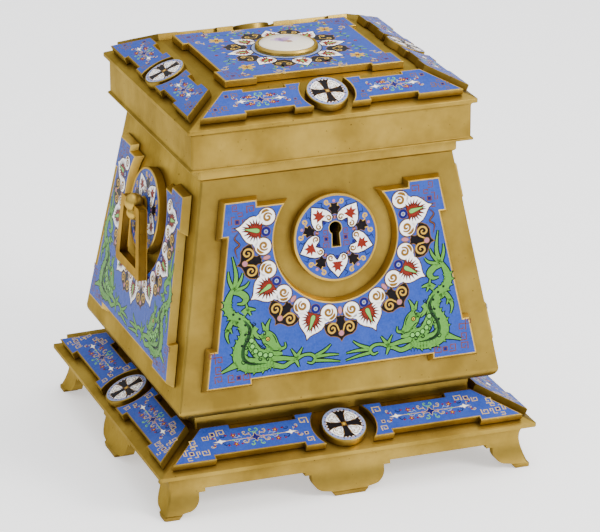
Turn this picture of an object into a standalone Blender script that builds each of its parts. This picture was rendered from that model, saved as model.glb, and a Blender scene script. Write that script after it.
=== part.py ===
"""A gilt bronze reliquary casket with enamel panels, standing on a footed base.

Millimetres are turned into metres by MM. Z is up, the front faces -Y, and the
origin is on the ground under the middle of the casket.
"""
import math

import bmesh
import bpy
from mathutils import Matrix, Vector

MM = 0.001

# Driving sizes, in millimetres.
GAP = 0.3                     # air left between two pieces that touch
DEPTH_LESS = 6.9              # each half depth is this much less than the half width
CORNER_R = 1.0                # softened upright corners
CORNER_STEPS = 1
CUT_PAST = 5.0                # a cutter runs this far past what it cuts

BASE_HALF = 125.0             # half width over the thin fillet
BASE_FILLET_TOP = 30.5
BASE_FILLET_T = 2.4
BASE_TOP_HALF = 92.2          # where the slope ends against the plinth block
BASE_TOP_Z = 45.0
BASE_WALL = 4.5
COVE_TOP_IN = 4.3             # the cove starts this far in from the fillet
APRON_IN = 8.2                # the apron's waist, in from the fillet
FOOT_IN = 2.9                 # the foot's toe, in from the fillet
APRON_EDGE_Z = 16.7
FOOT_CORNER_LESS = 12.8       # a corner foot's inner end, in from the fillet
FOOT_CENTRE_HALF = 10.2
TOE_Z = 2.2
TOE_STEP = 0.9                # the toe stands this far out from the foot's flare
TOE_STEP_H = 0.5
FOOT_FLARE_BEND = 1.6         # how late the foot's flare turns outwards
APRON_BAND_H = 1.6            # plain band between the apron's lower edge and the cove
COVE_LIP_H = 1.0
COVE_STEPS = 5
FLARE_STEPS = 4

PLINTH_INSET = 0.6            # the plinth block stands this far in from the slope's end
PLINTH_H = 12.0

BODY_BOTTOM_R = 6.0
BODY_BOTTOM_STEPS = 6
BODY_LOW_HALF = 106.4         # half width where the wall meets the rounded lower edge
BODY_TOP_HALF = 82.75
BODY_WALL_H = 140.4
BODY_WALL = 6.6
BODY_FLOOR = 6.0
BODY_FLOOR_UPRIGHT = 6.0      # the inside stands upright this far above its floor
STEP_OUT = 1.85               # the rim moulding stands this far out
STEP_RISE = 1.6
STEP_H = 7.6

FIELD_T = 5.4                 # the enamelled field stands this far out from the wall
FIELD_SPREAD = 2.0            # its sides spread this much towards the wall
FIELD_BORDER = 0.8            # gilt edge around its enamel
FIELD_EAR_MARGIN = 15.5       # from the wall's corner to an ear's enamel
FIELD_MARGIN = 19.7           # from the wall's corner to the enamel between the ears
FIELD_FOOT = 14.3
FIELD_FOOT_STEP = 3.4
FIELD_LOW_EAR_H = 21.6
FIELD_LOW_EAR_W = 27.5
FIELD_TOP_MARGIN = 15.0       # from the wall's upper end to the enamel
FIELD_TOP_STEP = 4.1
FIELD_HIGH_EAR_H = 19.6
FIELD_HIGH_EAR_W = 19.2
FIELD_ARC_R = 41.4
FIELD_ARC_STEPS = 18

ROUNDEL_DOWN = 43.6           # its centre, down the slope from the wall's upper end
ROUNDEL_R = 27.6
ROUNDEL_ENAMEL_R = 26.2
ROUNDEL_T = 6.1
ROUNDEL_SUNK = 0.4
ROUNDEL_BEVEL = 0.5
ROUNDEL_STEPS = 36

KEYHOLE_UP = 6.0              # the round part's centre above the roundel's centre
KEYHOLE_R = 4.0
KEYHOLE_DROP = 11.6           # from that centre to the keyhole's foot
KEYHOLE_NECK = 4.4
KEYHOLE_FOOT = 5.4
KEYHOLE_STEPS = 20

POST_BALL_R = 6.0
POST_BEAD_R = 4.9
POST_BALL_RISE = 2.4
POST_BEAD_DROP = 4.3
POST_STEM_R = 3.4
POST_ROSE_R = 6.6
POST_ROSE_T = 1.4
POST_OUT = 6.8                # the pin's axis, out from the roundel's face
POST_RISE = 3.6               # the pin's axis above the roundel's centre
BALL_STEPS = 14
ROD_STEPS = 14

HANDLE_BAR = 5.6
HANDLE_THICK = 5.6
HANDLE_TOP_HALF = 17.8
HANDLE_LOW_HALF = 24.0
HANDLE_DROP = 42.0            # from the pin's axis to the handle's lower edge
HANDLE_PIN_R = 2.3
HANDLE_PIN_PLAY = 0.3
HANDLE_PIN_HALF = 8.0         # half the gap in the upper bar, which the pin spans
HANDLE_PIN_SEAT = 1.5
HANDLE_CHAMFER = 0.9
HANDLE_EDGE = 0.5             # softened edges of the bars

PANEL_T = 5.0
PANEL_BORDER = 1.4            # gilt edge around a panel's enamel
PANEL_BEVEL = 0.4
PANEL_HIP_GAP = 6.2           # from the hip line to a panel's enamel
PANEL_ARC_STEPS = 7
BASE_PANEL_LOW = 6.3          # from the slope's foot to the enamel
BASE_PANEL_LOW_STEP = 3.5
BASE_PANEL_LOW_EAR = 23.8
BASE_PANEL_TOP_MARGIN = 4.5   # from the slope's upper end to the enamel
BASE_PANEL_HIGH_STEP = 3.6
BASE_PANEL_HIGH_EAR = 17.2
BASE_PANEL_INNER_EAR = 28.0

MEDALLION_T = 5.2
MEDALLION_BEVEL = 0.5
MEDALLION_STEPS = 26
BASE_MEDALLION_LIFT = -0.2    # its centre above the middle of the panels' enamel
BASE_MEDALLION_OVER = 2.1     # how far it reaches past the panels' enamel
BASE_MEDALLION_BAY = 7.4      # from its edge to the panels' enamel

LID_OVERHANG = 8.55           # the lid's side, out from the body's upper edge
LID_LOW_FILLET = 1.3
LID_LOW_FILLET_T = 1.8
LID_H = 27.0                  # from the lid's rim to the top fillet's upper edge
LID_TOP_FILLET = 3.1
LID_TOP_FILLET_T = 2.5
LID_SLOPE_RUN = 29.8
LID_SLOPE_RISE = 13.2
LID_WALL = 4.8
LID_PANEL_LOW = 6.4
LID_PANEL_LOW_STEP = 2.6
LID_PANEL_LOW_EAR = 25.2
LID_PANEL_TOP_MARGIN = 6.0
LID_PANEL_HIGH_STEP = 2.6
LID_PANEL_HIGH_EAR = 11.0
LID_PANEL_INNER_EAR = 23.5
LID_MEDALLION_LIFT = 0.7
LID_MEDALLION_OVER = 3.3
LID_MEDALLION_BAY = 5.2

TOP_PLATE_MARGIN = 5.8        # from the lid's flat edge to the plate
TOP_PLATE_T = 4.3
TOP_PLATE_EAR = 21.0
TOP_PLATE_STEP = 3.6
TOP_RING_R = 20.0
TOP_RING_W = 2.2
TOP_RING_T = 3.2
TOP_RING_FLOOR = 1.2
PLAQUE_RISE = 2.4
PLAQUE_EDGE = 1.4
PLAQUE_STEPS = 4
TOP_RING_STEPS = 30

SIDES = ("front", "right", "back", "left")

# Sizes that follow from the ones above.
SLOPE_RUN = BASE_HALF - BASE_TOP_HALF
SLOPE_RISE = BASE_TOP_Z - BASE_FILLET_TOP
PLINTH_Z = BASE_TOP_Z + GAP
BODY_Z = PLINTH_Z + PLINTH_H + GAP
BODY_LOW_Z = BODY_Z + BODY_BOTTOM_R
BODY_TOP_Z = BODY_LOW_Z + BODY_WALL_H
BODY_TAPER = (BODY_LOW_HALF - BODY_TOP_HALF) / BODY_WALL_H
ROUNDEL_UP = math.hypot(BODY_WALL_H, BODY_LOW_HALF - BODY_TOP_HALF) - ROUNDEL_DOWN
RIM_Z = BODY_TOP_Z + STEP_RISE + STEP_H
LID_Z = RIM_Z + GAP
LID_HALF = BODY_TOP_HALF + LID_OVERHANG
LID_FILLET_Z = LID_Z + LID_H
LID_TOP_HALF = LID_HALF + LID_TOP_FILLET
LID_FLAT_HALF = LID_TOP_HALF - LID_SLOPE_RUN
LID_FLAT_Z = LID_FILLET_Z + LID_SLOPE_RISE
PLATE_Z = LID_FLAT_Z + GAP
TOP_PLATE_HALF = LID_FLAT_HALF - TOP_PLATE_MARGIN
RING_Z = PLATE_Z + TOP_PLATE_T + GAP


def material(name, colour, roughness, metallic):
    """A plain shader with one colour."""
    made = bpy.data.materials.new(name)
    made.use_nodes = True
    shader = made.node_tree.nodes["Principled BSDF"]
    shader.inputs["Base Color"].default_value = (*colour, 1.0)
    shader.inputs["Roughness"].default_value = roughness
    shader.inputs["Metallic"].default_value = metallic
    return made


def new_object(name, bm, look, smooth=False):
    """Turn a bmesh in millimetres into an object in metres."""
    bmesh.ops.remove_doubles(bm, verts=bm.verts, dist=1e-4)
    bmesh.ops.recalc_face_normals(bm, faces=bm.faces)
    bmesh.ops.scale(bm, vec=(MM, MM, MM), verts=bm.verts)
    mesh = bpy.data.meshes.new(name)
    bm.to_mesh(mesh)
    bm.free()
    if smooth:
        mesh.shade_smooth()
        mesh.set_sharp_from_angle(angle=math.radians(30))
    if look is not None:
        mesh.materials.append(look)
    made = bpy.data.objects.new(name, mesh)
    bpy.context.scene.collection.objects.link(made)
    return made


def combine(target, tools, operation):
    """Apply exact booleans to the target and take the tools away."""
    for tool in tools:
        step = target.modifiers.new("combine", "BOOLEAN")
        step.operation = operation
        step.solver = "EXACT"
        step.object = tool
    graph = bpy.context.evaluated_depsgraph_get()
    result = bpy.data.meshes.new_from_object(target.evaluated_get(graph))
    target.modifiers.clear()
    old = target.data
    target.data = result
    result.name = target.name
    bpy.data.meshes.remove(old)
    for tool in tools:
        bpy.data.objects.remove(tool)
    return target


def loft(rings):
    """Closed skin through rings of points that all have the same count."""
    bm = bmesh.new()
    rows = [[bm.verts.new(point) for point in ring] for ring in rings]
    count = len(rows[0])
    for low, high in zip(rows, rows[1:]):
        for i in range(count):
            j = (i + 1) % count
            bm.faces.new((low[i], low[j], high[j], high[i]))
    bm.faces.new(list(reversed(rows[0])))
    bm.faces.new(rows[-1])
    return bm


def plan_ring(half_x, half_y, z, radius=CORNER_R):
    """A level rectangle with softened corners."""
    points = []
    for quarter, (sx, sy) in enumerate(((1, 1), (-1, 1), (-1, -1), (1, -1))):
        for i in range(CORNER_STEPS + 1):
            angle = math.pi / 2 * (quarter + i / CORNER_STEPS)
            x = sx * (half_x - radius) + radius * math.cos(angle)
            y = sy * (half_y - radius) + radius * math.sin(angle)
            points.append((x, y, z))
    return points


def tier(levels, radius=CORNER_R):
    """Stack of level rectangles given as (half width, z)."""
    return loft([plan_ring(half, half - DEPTH_LESS, z, radius) for half, z in levels])


class Face:
    """A flat side: its middle at the foot, the way across, up the face and out of it."""

    def __init__(self, side, low_half, low_z, high_half, high_z):
        turn = Matrix.Rotation(math.pi / 2 * SIDES.index(side), 3, "Z")
        across_less, out_less = (0.0, DEPTH_LESS) if side in ("front", "back") else (DEPTH_LESS, 0.0)
        low = turn @ Vector((0, -(low_half - out_less), low_z))
        high = turn @ Vector((0, -(high_half - out_less), high_z))
        self.across = turn @ Vector((1, 0, 0))
        self.up = (high - low).normalized()
        self.out = self.across.cross(self.up)
        self.origin = low
        self.length = (high - low).length
        self.half = low_half - across_less
        self.taper = (low_half - high_half) / self.length

    def point(self, across, up, out=0.0):
        return self.origin + self.across * across + self.up * up + self.out * out

    def matrix(self, across, up, out=0.0):
        """Placement whose Z axis points out of the face."""
        turn = Matrix((self.across, self.up, self.out)).transposed().to_4x4()
        return Matrix.Translation(self.point(across, up, out)) @ turn


def outward(outline, distance):
    """Move each edge of a flat outline, drawn anticlockwise, outwards."""
    moved = []
    count = len(outline)
    for i in range(count):
        before = Vector(outline[i - 1])
        here = Vector(outline[i])
        after = Vector(outline[(i + 1) % count])
        first = (here - before).normalized()
        second = (after - here).normalized()
        normal_a = Vector((first.y, -first.x))
        normal_b = Vector((second.y, -second.x))
        middle = (normal_a + normal_b).normalized()
        moved.append(tuple(here + middle * (distance / middle.dot(normal_a))))
    return moved


def slab(face, outline, steps):
    """Block on a face, through (height, outward offset) steps."""
    rings = []
    for height, offset in steps:
        shape = outward(outline, offset)
        rings.append([face.point(x, up, height) for x, up in shape])
    return loft(rings)


def turned(profile, steps, placement):
    """Turn (radius, height) points round the Z axis; both ends lie on the axis."""
    bm = bmesh.new()
    rows = []
    for radius, height in profile:
        if radius == 0:
            rows.append([bm.verts.new(placement @ Vector((0, 0, height)))])
            continue
        row = []
        for i in range(steps):
            angle = math.tau * i / steps
            spot = Vector((radius * math.cos(angle), radius * math.sin(angle), height))
            row.append(bm.verts.new(placement @ spot))
        rows.append(row)
    for low, high in zip(rows, rows[1:]):
        for i in range(steps):
            j = (i + 1) % steps
            if len(low) == 1:
                bm.faces.new((low[0], high[j], high[i]))
            elif len(high) == 1:
                bm.faces.new((low[i], low[j], high[0]))
            else:
                bm.faces.new((low[i], low[j], high[j], high[i]))
    return bm


def arc(centre_x, centre_y, radius, start, end, steps):
    """Points along an arc, angles in radians, both ends included."""
    points = []
    for i in range(steps + 1):
        angle = start + (end - start) * i / steps
        points.append((centre_x + radius * math.cos(angle), centre_y + radius * math.sin(angle)))
    return points


def body_face(side):
    return Face(side, BODY_LOW_HALF, BODY_LOW_Z, BODY_TOP_HALF, BODY_TOP_Z)


def base_face(side):
    return Face(side, BASE_HALF, BASE_FILLET_TOP, BASE_TOP_HALF, BASE_TOP_Z)


def lid_face(side):
    return Face(side, LID_TOP_HALF, LID_FILLET_Z, LID_FLAT_HALF, LID_FLAT_Z)


def field_outline(face):
    """Enamel outline of a wall's field, with four ears and a round bay at the top."""
    def edge(up, margin):
        return face.half - face.taper * up - margin

    foot_mid = FIELD_FOOT + FIELD_FOOT_STEP
    low_ear_top = FIELD_FOOT + FIELD_LOW_EAR_H
    top = face.length - FIELD_TOP_MARGIN
    top_mid = top - FIELD_TOP_STEP
    high_ear_low = top - FIELD_HIGH_EAR_H
    low_ear_in = edge(FIELD_FOOT, FIELD_EAR_MARGIN) - FIELD_LOW_EAR_W
    high_ear_in = edge(top, FIELD_EAR_MARGIN) - FIELD_HIGH_EAR_W
    right = [
        (low_ear_in, foot_mid),
        (low_ear_in, FIELD_FOOT),
        (edge(FIELD_FOOT, FIELD_EAR_MARGIN), FIELD_FOOT),
        (edge(low_ear_top, FIELD_EAR_MARGIN), low_ear_top),
        (edge(low_ear_top, FIELD_MARGIN), low_ear_top),
        (edge(high_ear_low, FIELD_MARGIN), high_ear_low),
        (edge(high_ear_low, FIELD_EAR_MARGIN), high_ear_low),
        (edge(top, FIELD_EAR_MARGIN), top),
        (high_ear_in, top),
        (high_ear_in, top_mid),
    ]
    bay = math.asin((top_mid - ROUNDEL_UP) / FIELD_ARC_R)
    bottom = arc(0, ROUNDEL_UP, FIELD_ARC_R, bay, -math.pi - bay, FIELD_ARC_STEPS)
    left = [(-x, up) for x, up in reversed(right)]
    return right + bottom + left


class SlopeBand:
    """Where the panels and the medallion of one slope stand."""

    def __init__(self, face, low, top_margin, lift, over, bay):
        self.low = low
        self.high = face.length - top_margin
        self.centre_up = (self.low + self.high) / 2 + lift
        self.medallion_r = (self.high - self.low) / 2 + over
        self.arc_r = self.medallion_r + bay


def base_band(face):
    return SlopeBand(face, BASE_PANEL_LOW, BASE_PANEL_TOP_MARGIN, BASE_MEDALLION_LIFT,
                     BASE_MEDALLION_OVER, BASE_MEDALLION_BAY)


def lid_band(face):
    return SlopeBand(face, LID_PANEL_LOW, LID_PANEL_TOP_MARGIN, LID_MEDALLION_LIFT,
                     LID_MEDALLION_OVER, LID_MEDALLION_BAY)


def panel_outline(face, hand, band, low_step, low_ear, high_step, high_ear, inner_ear):
    """Enamel outline of a slope panel between a hip and a medallion."""
    def hip(up):
        return face.half - face.taper * up - PANEL_HIP_GAP

    low_mid = band.low + low_step
    high_mid = band.high - high_step
    start = math.asin((band.high - band.centre_up) / band.arc_r)
    end = math.asin((band.low - band.centre_up) / band.arc_r)
    points = [
        (hip(band.low), band.low),
        (hip(band.high), band.high),
        (hip(band.high) - high_ear, band.high),
        (hip(band.high) - high_ear, high_mid),
        (inner_ear, high_mid),
        (inner_ear, band.high),
    ]
    points += arc(0, band.centre_up, band.arc_r, start, end, PANEL_ARC_STEPS)
    points += [
        (inner_ear, band.low),
        (inner_ear, low_mid),
        (hip(band.low) - low_ear, low_mid),
        (hip(band.low) - low_ear, band.low),
    ]
    if hand < 0:
        points = [(-x, up) for x, up in reversed(points)]
    return points


def base_panel_outline(face, hand):
    return panel_outline(face, hand, base_band(face), BASE_PANEL_LOW_STEP, BASE_PANEL_LOW_EAR,
                         BASE_PANEL_HIGH_STEP, BASE_PANEL_HIGH_EAR, BASE_PANEL_INNER_EAR)


def lid_panel_outline(face, hand):
    return panel_outline(face, hand, lid_band(face), LID_PANEL_LOW_STEP, LID_PANEL_LOW_EAR,
                         LID_PANEL_HIGH_STEP, LID_PANEL_HIGH_EAR, LID_PANEL_INNER_EAR)


def bracket():
    """A foot's scalloped side, as (out from the foot, up) from the ground up."""
    scallop = arc(5.4, 12.2, 8.7, -math.pi * 0.42, -math.pi * 0.06, 5)
    return [(0.0, -1.0), (0.0, 0.6), (2.4, 3.0)] + scallop + [(14.1, 14.4), (18.3, 14.4)]


def foot_gap_cutter(near_half, far_half, along_y, reach):
    """Prism that opens the apron between a centre foot and a corner foot."""
    near = [(near_half + x, z) for x, z in bracket()]
    far = [(far_half - x, z) for x, z in bracket()]
    top = [(near[-1][0], APRON_EDGE_Z), (far[-1][0], APRON_EDGE_Z)]
    outline = near + top + list(reversed(far))
    rings = []
    for side in (-reach, reach):
        if along_y:
            rings.append([(x, side, z) for x, z in outline])
        else:
            rings.append([(side, x, z) for x, z in outline])
    return loft(rings)


def make_base(look):
    """Footed base with a sloping top, open underneath."""
    cove_top = BASE_FILLET_TOP - BASE_FILLET_T
    waist = BASE_HALF - APRON_IN
    toe = BASE_HALF - FOOT_IN
    cove_from = BASE_HALF - COVE_TOP_IN
    waist_z = APRON_EDGE_Z + APRON_BAND_H
    cove = []
    for i in range(COVE_STEPS + 1):
        angle = math.pi / 2 * i / COVE_STEPS
        half = waist + (cove_from - waist) * (1 - math.sin(angle))
        cove.append((half, waist_z + (cove_top - COVE_LIP_H - waist_z) * math.cos(angle)))
    flare = []
    for i in range(1, FLARE_STEPS + 1):
        share = i / FLARE_STEPS
        half = waist + (toe - TOE_STEP - waist) * share ** FOOT_FLARE_BEND
        flare.append((half, waist_z + (TOE_Z + TOE_STEP_H - waist_z) * share))
    levels = [(BASE_TOP_HALF, BASE_TOP_Z), (BASE_HALF, BASE_FILLET_TOP), (BASE_HALF, cove_top)]
    levels += cove + flare + [(toe, TOE_Z), (toe, 0.0)]
    base = new_object("base", tier(list(reversed(levels))), look)
    inner = waist - BASE_WALL
    under = BASE_WALL * math.hypot(SLOPE_RUN, SLOPE_RISE) / SLOPE_RUN
    inner_top = BASE_FILLET_TOP + (BASE_HALF - inner) * SLOPE_RISE / SLOPE_RUN - under
    hollow = tier([(inner, -CUT_PAST), (inner, inner_top), (BASE_TOP_HALF, BASE_TOP_Z - under)])
    tools = [new_object("base_hollow", hollow, None)]
    reach = BASE_HALF + CUT_PAST
    for hand in (-1, 1):
        for along_y, less in ((True, 0.0), (False, DEPTH_LESS)):
            far_half = BASE_HALF - FOOT_CORNER_LESS - less
            cutter = foot_gap_cutter(FOOT_CENTRE_HALF, far_half, along_y, reach)
            if hand < 0:
                mirror = (-1, 1, 1) if along_y else (1, -1, 1)
                bmesh.ops.scale(cutter, vec=mirror, verts=cutter.verts)
                bmesh.ops.reverse_faces(cutter, faces=cutter.faces)
            tools.append(new_object("foot_gap", cutter, None))
    return combine(base, tools, "DIFFERENCE")


def keyhole_cutter():
    """Prism in the shape of the keyhole, through the roundel and the wall."""
    face = body_face("front")
    centre_up = ROUNDEL_UP + KEYHOLE_UP
    neck = math.asin(KEYHOLE_NECK / 2 / KEYHOLE_R)
    head = arc(0, centre_up, KEYHOLE_R, -math.pi / 2 + neck, math.pi * 1.5 - neck, KEYHOLE_STEPS)
    foot_up = centre_up - KEYHOLE_DROP
    outline = head + [(-KEYHOLE_FOOT / 2, foot_up), (KEYHOLE_FOOT / 2, foot_up)]
    bm = slab(face, outline, [(-BODY_WALL - CUT_PAST, 0.0), (ROUNDEL_T + CUT_PAST, 0.0)])
    return new_object("keyhole", bm, None)


def make_body(look):
    """Hollow tapering box with a rounded lower edge and a moulded rim."""
    slant = math.atan(BODY_TAPER)
    centre = BODY_LOW_HALF - BODY_BOTTOM_R * math.cos(slant)
    levels = arc(centre, BODY_LOW_Z, BODY_BOTTOM_R, -math.pi / 2, slant, BODY_BOTTOM_STEPS)
    levels += [
        (BODY_TOP_HALF, BODY_TOP_Z),
        (BODY_TOP_HALF + STEP_OUT, BODY_TOP_Z + STEP_RISE),
        (BODY_TOP_HALF + STEP_OUT, RIM_Z),
    ]
    body = new_object("casket_body", tier(levels), look)
    floor_z = BODY_Z + BODY_FLOOR
    bend_z = floor_z + BODY_FLOOR_UPRIGHT

    def inner_half(z):
        return BODY_LOW_HALF - BODY_TAPER * (z - BODY_LOW_Z) - BODY_WALL

    hollow = [(inner_half(bend_z), floor_z)]
    for z in (bend_z, RIM_Z + CUT_PAST):
        hollow.append((inner_half(z), z))
    tools = [new_object("body_hollow", tier(hollow), None), keyhole_cutter()]
    return combine(body, tools, "DIFFERENCE")


def make_field_panel(side, look):
    """Raised block with an enamelled picture, around a wall's roundel."""
    face = body_face(side)
    steps = [(GAP, FIELD_BORDER + FIELD_SPREAD), (FIELD_T, FIELD_BORDER)]
    return new_object("field_panel_" + side, slab(face, field_outline(face), steps), look)


def make_roundel(side, look):
    """Thick enamelled disc with a gilt rim, standing on a wall."""
    face = body_face(side)
    level = ROUNDEL_T - ROUNDEL_SUNK
    profile = [
        (0, GAP),
        (ROUNDEL_R, GAP),
        (ROUNDEL_R, ROUNDEL_T - ROUNDEL_BEVEL),
        (ROUNDEL_R - ROUNDEL_BEVEL, ROUNDEL_T),
        (ROUNDEL_ENAMEL_R, ROUNDEL_T),
        (ROUNDEL_ENAMEL_R, level),
        (0, level),
    ]
    bm = turned(profile, ROUNDEL_STEPS, face.matrix(0, ROUNDEL_UP))
    made = new_object("roundel_" + side, bm, look, smooth=True)
    if side == "front":
        combine(made, [keyhole_cutter()], "DIFFERENCE")
    return made


def pin_place(side):
    """Middle of a handle's pin."""
    face = body_face(side)
    spot = face.point(0, ROUNDEL_UP, ROUNDEL_T)
    spot = spot + Vector((0, 0, POST_RISE))
    level_out = Vector((face.out.x, face.out.y, 0)).normalized()
    inward = POST_RISE * BODY_TAPER
    return spot + level_out * (POST_OUT - inward)


def ball_and_bead(name, pin):
    """Upright turned finial: a ball that runs into a smaller bead under it."""
    gap = POST_BALL_RISE + POST_BEAD_DROP
    fall = (POST_BALL_R ** 2 - POST_BEAD_R ** 2 + gap ** 2) / (2 * gap)
    ball_end = math.asin(-fall / POST_BALL_R)
    bead_start = math.asin((gap - fall) / POST_BEAD_R)
    profile = arc(0, POST_BALL_RISE, POST_BALL_R, math.pi / 2, ball_end, BALL_STEPS // 2)
    profile += arc(0, -POST_BEAD_DROP, POST_BEAD_R, bead_start, -math.pi / 2, BALL_STEPS // 3)[1:]
    profile[0] = (0, profile[0][1])
    profile[-1] = (0, profile[-1][1])
    return new_object(name, turned(profile, BALL_STEPS, Matrix.Translation(pin)), None)


def rod(name, start, end, radius, steps=ROD_STEPS):
    """Plain round rod between two points."""
    way = end - start
    turn = way.to_track_quat("Z", "Y").to_matrix().to_4x4()
    profile = [(0, 0.0), (radius, 0.0), (radius, way.length), (0, way.length)]
    return new_object(name, turned(profile, steps, Matrix.Translation(start) @ turn), None)


def make_post(side, look):
    """Ball and bead that carry a handle's pin, on a short stem with a rose."""
    face = body_face(side)
    pin = pin_place(side)
    foot_up = (pin - face.origin).dot(face.up)
    rose_low = ROUNDEL_T + GAP
    rose = [
        (0, rose_low),
        (POST_ROSE_R, rose_low),
        (POST_ROSE_R, rose_low + POST_ROSE_T / 2),
        (POST_ROSE_R - POST_ROSE_T, rose_low + POST_ROSE_T),
        (0, rose_low + POST_ROSE_T),
    ]
    name = "handle_post_" + side
    made = new_object(name, turned(rose, ROD_STEPS * 2, face.matrix(0, foot_up)), look)
    stem_from = face.point(0, foot_up, rose_low + POST_ROSE_T / 2)
    parts = [
        ball_and_bead("post_finial", pin),
        rod("post_stem", stem_from, pin, POST_STEM_R),
    ]
    combine(made, parts, "UNION")
    reach = Vector((0, POST_BALL_R + CUT_PAST, 0))
    bore = rod("post_bore", pin - reach, pin + reach, HANDLE_PIN_R + HANDLE_PIN_PLAY)
    return combine(made, [bore], "DIFFERENCE")


def handle_lean():
    """Angle at which a hanging handle just clears the roundel and the field below it."""
    bar_middle = (HANDLE_TOP_HALF + HANDLE_LOW_HALF) / 2 - HANDLE_BAR / 2
    rim_drop = math.sqrt(ROUNDEL_R ** 2 - bar_middle ** 2) + POST_RISE
    field_stand = FIELD_T - ROUNDEL_T
    lean = 0.0
    for drop, stand in ((rim_drop, 0.0), (HANDLE_DROP, field_stand)):
        need = HANDLE_THICK / 2 + GAP * 2 + drop * BODY_TAPER + stand - POST_OUT
        lean = max(lean, math.atan(need / drop))
    return lean


def make_handle(side, look):
    """Square-barred drop handle, wider at its foot, hanging from a round pin."""
    pin = pin_place(side)
    top = HANDLE_BAR / 2
    low = -HANDLE_DROP
    slant = (HANDLE_LOW_HALF - HANDLE_TOP_HALF) / (top - low)
    bar_run = HANDLE_BAR * math.hypot(1.0, slant)

    def outer(z):
        return HANDLE_TOP_HALF + slant * (top - z)

    under_top = top - HANDLE_BAR
    over_low = low + HANDLE_BAR
    right = [
        (HANDLE_PIN_HALF, top),
        (HANDLE_PIN_HALF, under_top),
        (outer(under_top) - bar_run, under_top),
        (outer(over_low) - bar_run, over_low),
    ]
    rim = [
        (outer(low + HANDLE_CHAMFER), low + HANDLE_CHAMFER),
        (outer(low) - HANDLE_CHAMFER, low),
    ]
    cap = [
        (outer(top) - HANDLE_CHAMFER, top),
        (outer(top - HANDLE_CHAMFER), top - HANDLE_CHAMFER),
    ]
    left = [(-y, z) for y, z in right]
    outline = left + list(reversed(right)) + cap + rim
    outline += [(-y, z) for y, z in reversed(rim)] + [(-y, z) for y, z in reversed(cap)]
    rings = []
    half = HANDLE_THICK / 2
    for depth, inset in ((-half, HANDLE_EDGE), (HANDLE_EDGE - half, 0.0),
                         (half - HANDLE_EDGE, 0.0), (half, HANDLE_EDGE)):
        rings.append([(depth, y, z) for y, z in outward(outline, -inset)])
    frame = new_object("handle_" + side, loft(rings), look)
    pin_reach = Vector((0, HANDLE_PIN_HALF + HANDLE_PIN_SEAT, 0))
    combine(frame, [rod("pin", -pin_reach, pin_reach, HANDLE_PIN_R)], "UNION")
    swing = handle_lean() * (1 if side == "left" else -1)
    place = Matrix.Translation(pin * MM) @ Matrix.Rotation(swing, 4, "Y")
    frame.data.transform(place)
    return frame


def make_panel(name, face, outline, look):
    """Raised block with an enamelled top."""
    steps = [
        (GAP, PANEL_BORDER),
        (PANEL_T - PANEL_BEVEL, PANEL_BORDER),
        (PANEL_T, PANEL_BORDER - PANEL_BEVEL),
    ]
    return new_object(name, slab(face, outline, steps), look)


def make_medallion(name, face, band, look):
    """Round enamelled block with a softened edge."""
    radius = band.medallion_r
    profile = [
        (0, GAP),
        (radius, GAP),
        (radius, MEDALLION_T - MEDALLION_BEVEL),
        (radius - MEDALLION_BEVEL, MEDALLION_T),
        (0, MEDALLION_T),
    ]
    bm = turned(profile, MEDALLION_STEPS, face.matrix(0, band.centre_up))
    return new_object(name, bm, look, smooth=True)


def make_lid(look):
    """Lid like a low hipped roof, hollow underneath."""
    low = LID_HALF + LID_LOW_FILLET
    fillet_z = LID_FILLET_Z - LID_TOP_FILLET_T
    levels = [
        (low, LID_Z),
        (low, LID_Z + LID_LOW_FILLET_T * 0.6),
        (LID_HALF, LID_Z + LID_LOW_FILLET_T),
        (LID_HALF, fillet_z - LID_TOP_FILLET * 0.7),
        (LID_HALF + LID_TOP_FILLET * 0.35, fillet_z - LID_TOP_FILLET * 0.15),
        (LID_TOP_HALF, fillet_z),
        (LID_TOP_HALF, LID_FILLET_Z),
        (LID_FLAT_HALF, LID_FLAT_Z),
    ]
    lid = new_object("lid", tier(levels), look)
    inner = LID_HALF - LID_WALL
    roof = LID_WALL * math.hypot(LID_SLOPE_RUN, LID_SLOPE_RISE) / LID_SLOPE_RUN
    inner_z = LID_FILLET_Z + (LID_TOP_HALF - inner) * LID_SLOPE_RISE / LID_SLOPE_RUN - roof
    hollow = tier([(inner, LID_Z - CUT_PAST), (inner, inner_z), (LID_FLAT_HALF, LID_FLAT_Z - roof)])
    return combine(lid, [new_object("lid_hollow", hollow, None)], "DIFFERENCE")


def top_plate_outline():
    """Nearly square plate whose sides step in between the corners."""
    half_x = TOP_PLATE_HALF
    half_y = TOP_PLATE_HALF - DEPTH_LESS
    step = TOP_PLATE_STEP
    ear = TOP_PLATE_EAR
    quarter = [
        (half_x - step, half_y - ear),
        (half_x, half_y - ear),
        (half_x, half_y),
        (half_x - ear, half_y),
        (half_x - ear, half_y - step),
    ]
    points = list(quarter)
    points += [(-x, y) for x, y in reversed(quarter)]
    points += [(-x, -y) for x, y in quarter]
    points += [(x, -y) for x, y in reversed(quarter)]
    return points


def make_top_plate(look):
    """Raised enamelled plate on the lid's flat top."""
    rings = []
    top = PLATE_Z + TOP_PLATE_T
    for z, offset in ((PLATE_Z, 0.0), (top - PANEL_BEVEL, 0.0), (top, -PANEL_BEVEL)):
        rings.append([(x, y, z) for x, y in outward(top_plate_outline(), offset)])
    return new_object("top_plate", loft(rings), look)


def make_top_ring(look):
    """Gilt setting for the plaque."""
    inner = TOP_RING_R - TOP_RING_W
    profile = [
        (0, 0.0),
        (TOP_RING_R, 0.0),
        (TOP_RING_R, TOP_RING_T * 0.6),
        (TOP_RING_R - TOP_RING_W * 0.35, TOP_RING_T),
        (inner, TOP_RING_T),
        (inner, TOP_RING_FLOOR),
        (0, TOP_RING_FLOOR),
    ]
    place = Matrix.Translation((0, 0, RING_Z))
    return new_object("top_medallion_ring", turned(profile, TOP_RING_STEPS, place), look, smooth=True)


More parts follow.
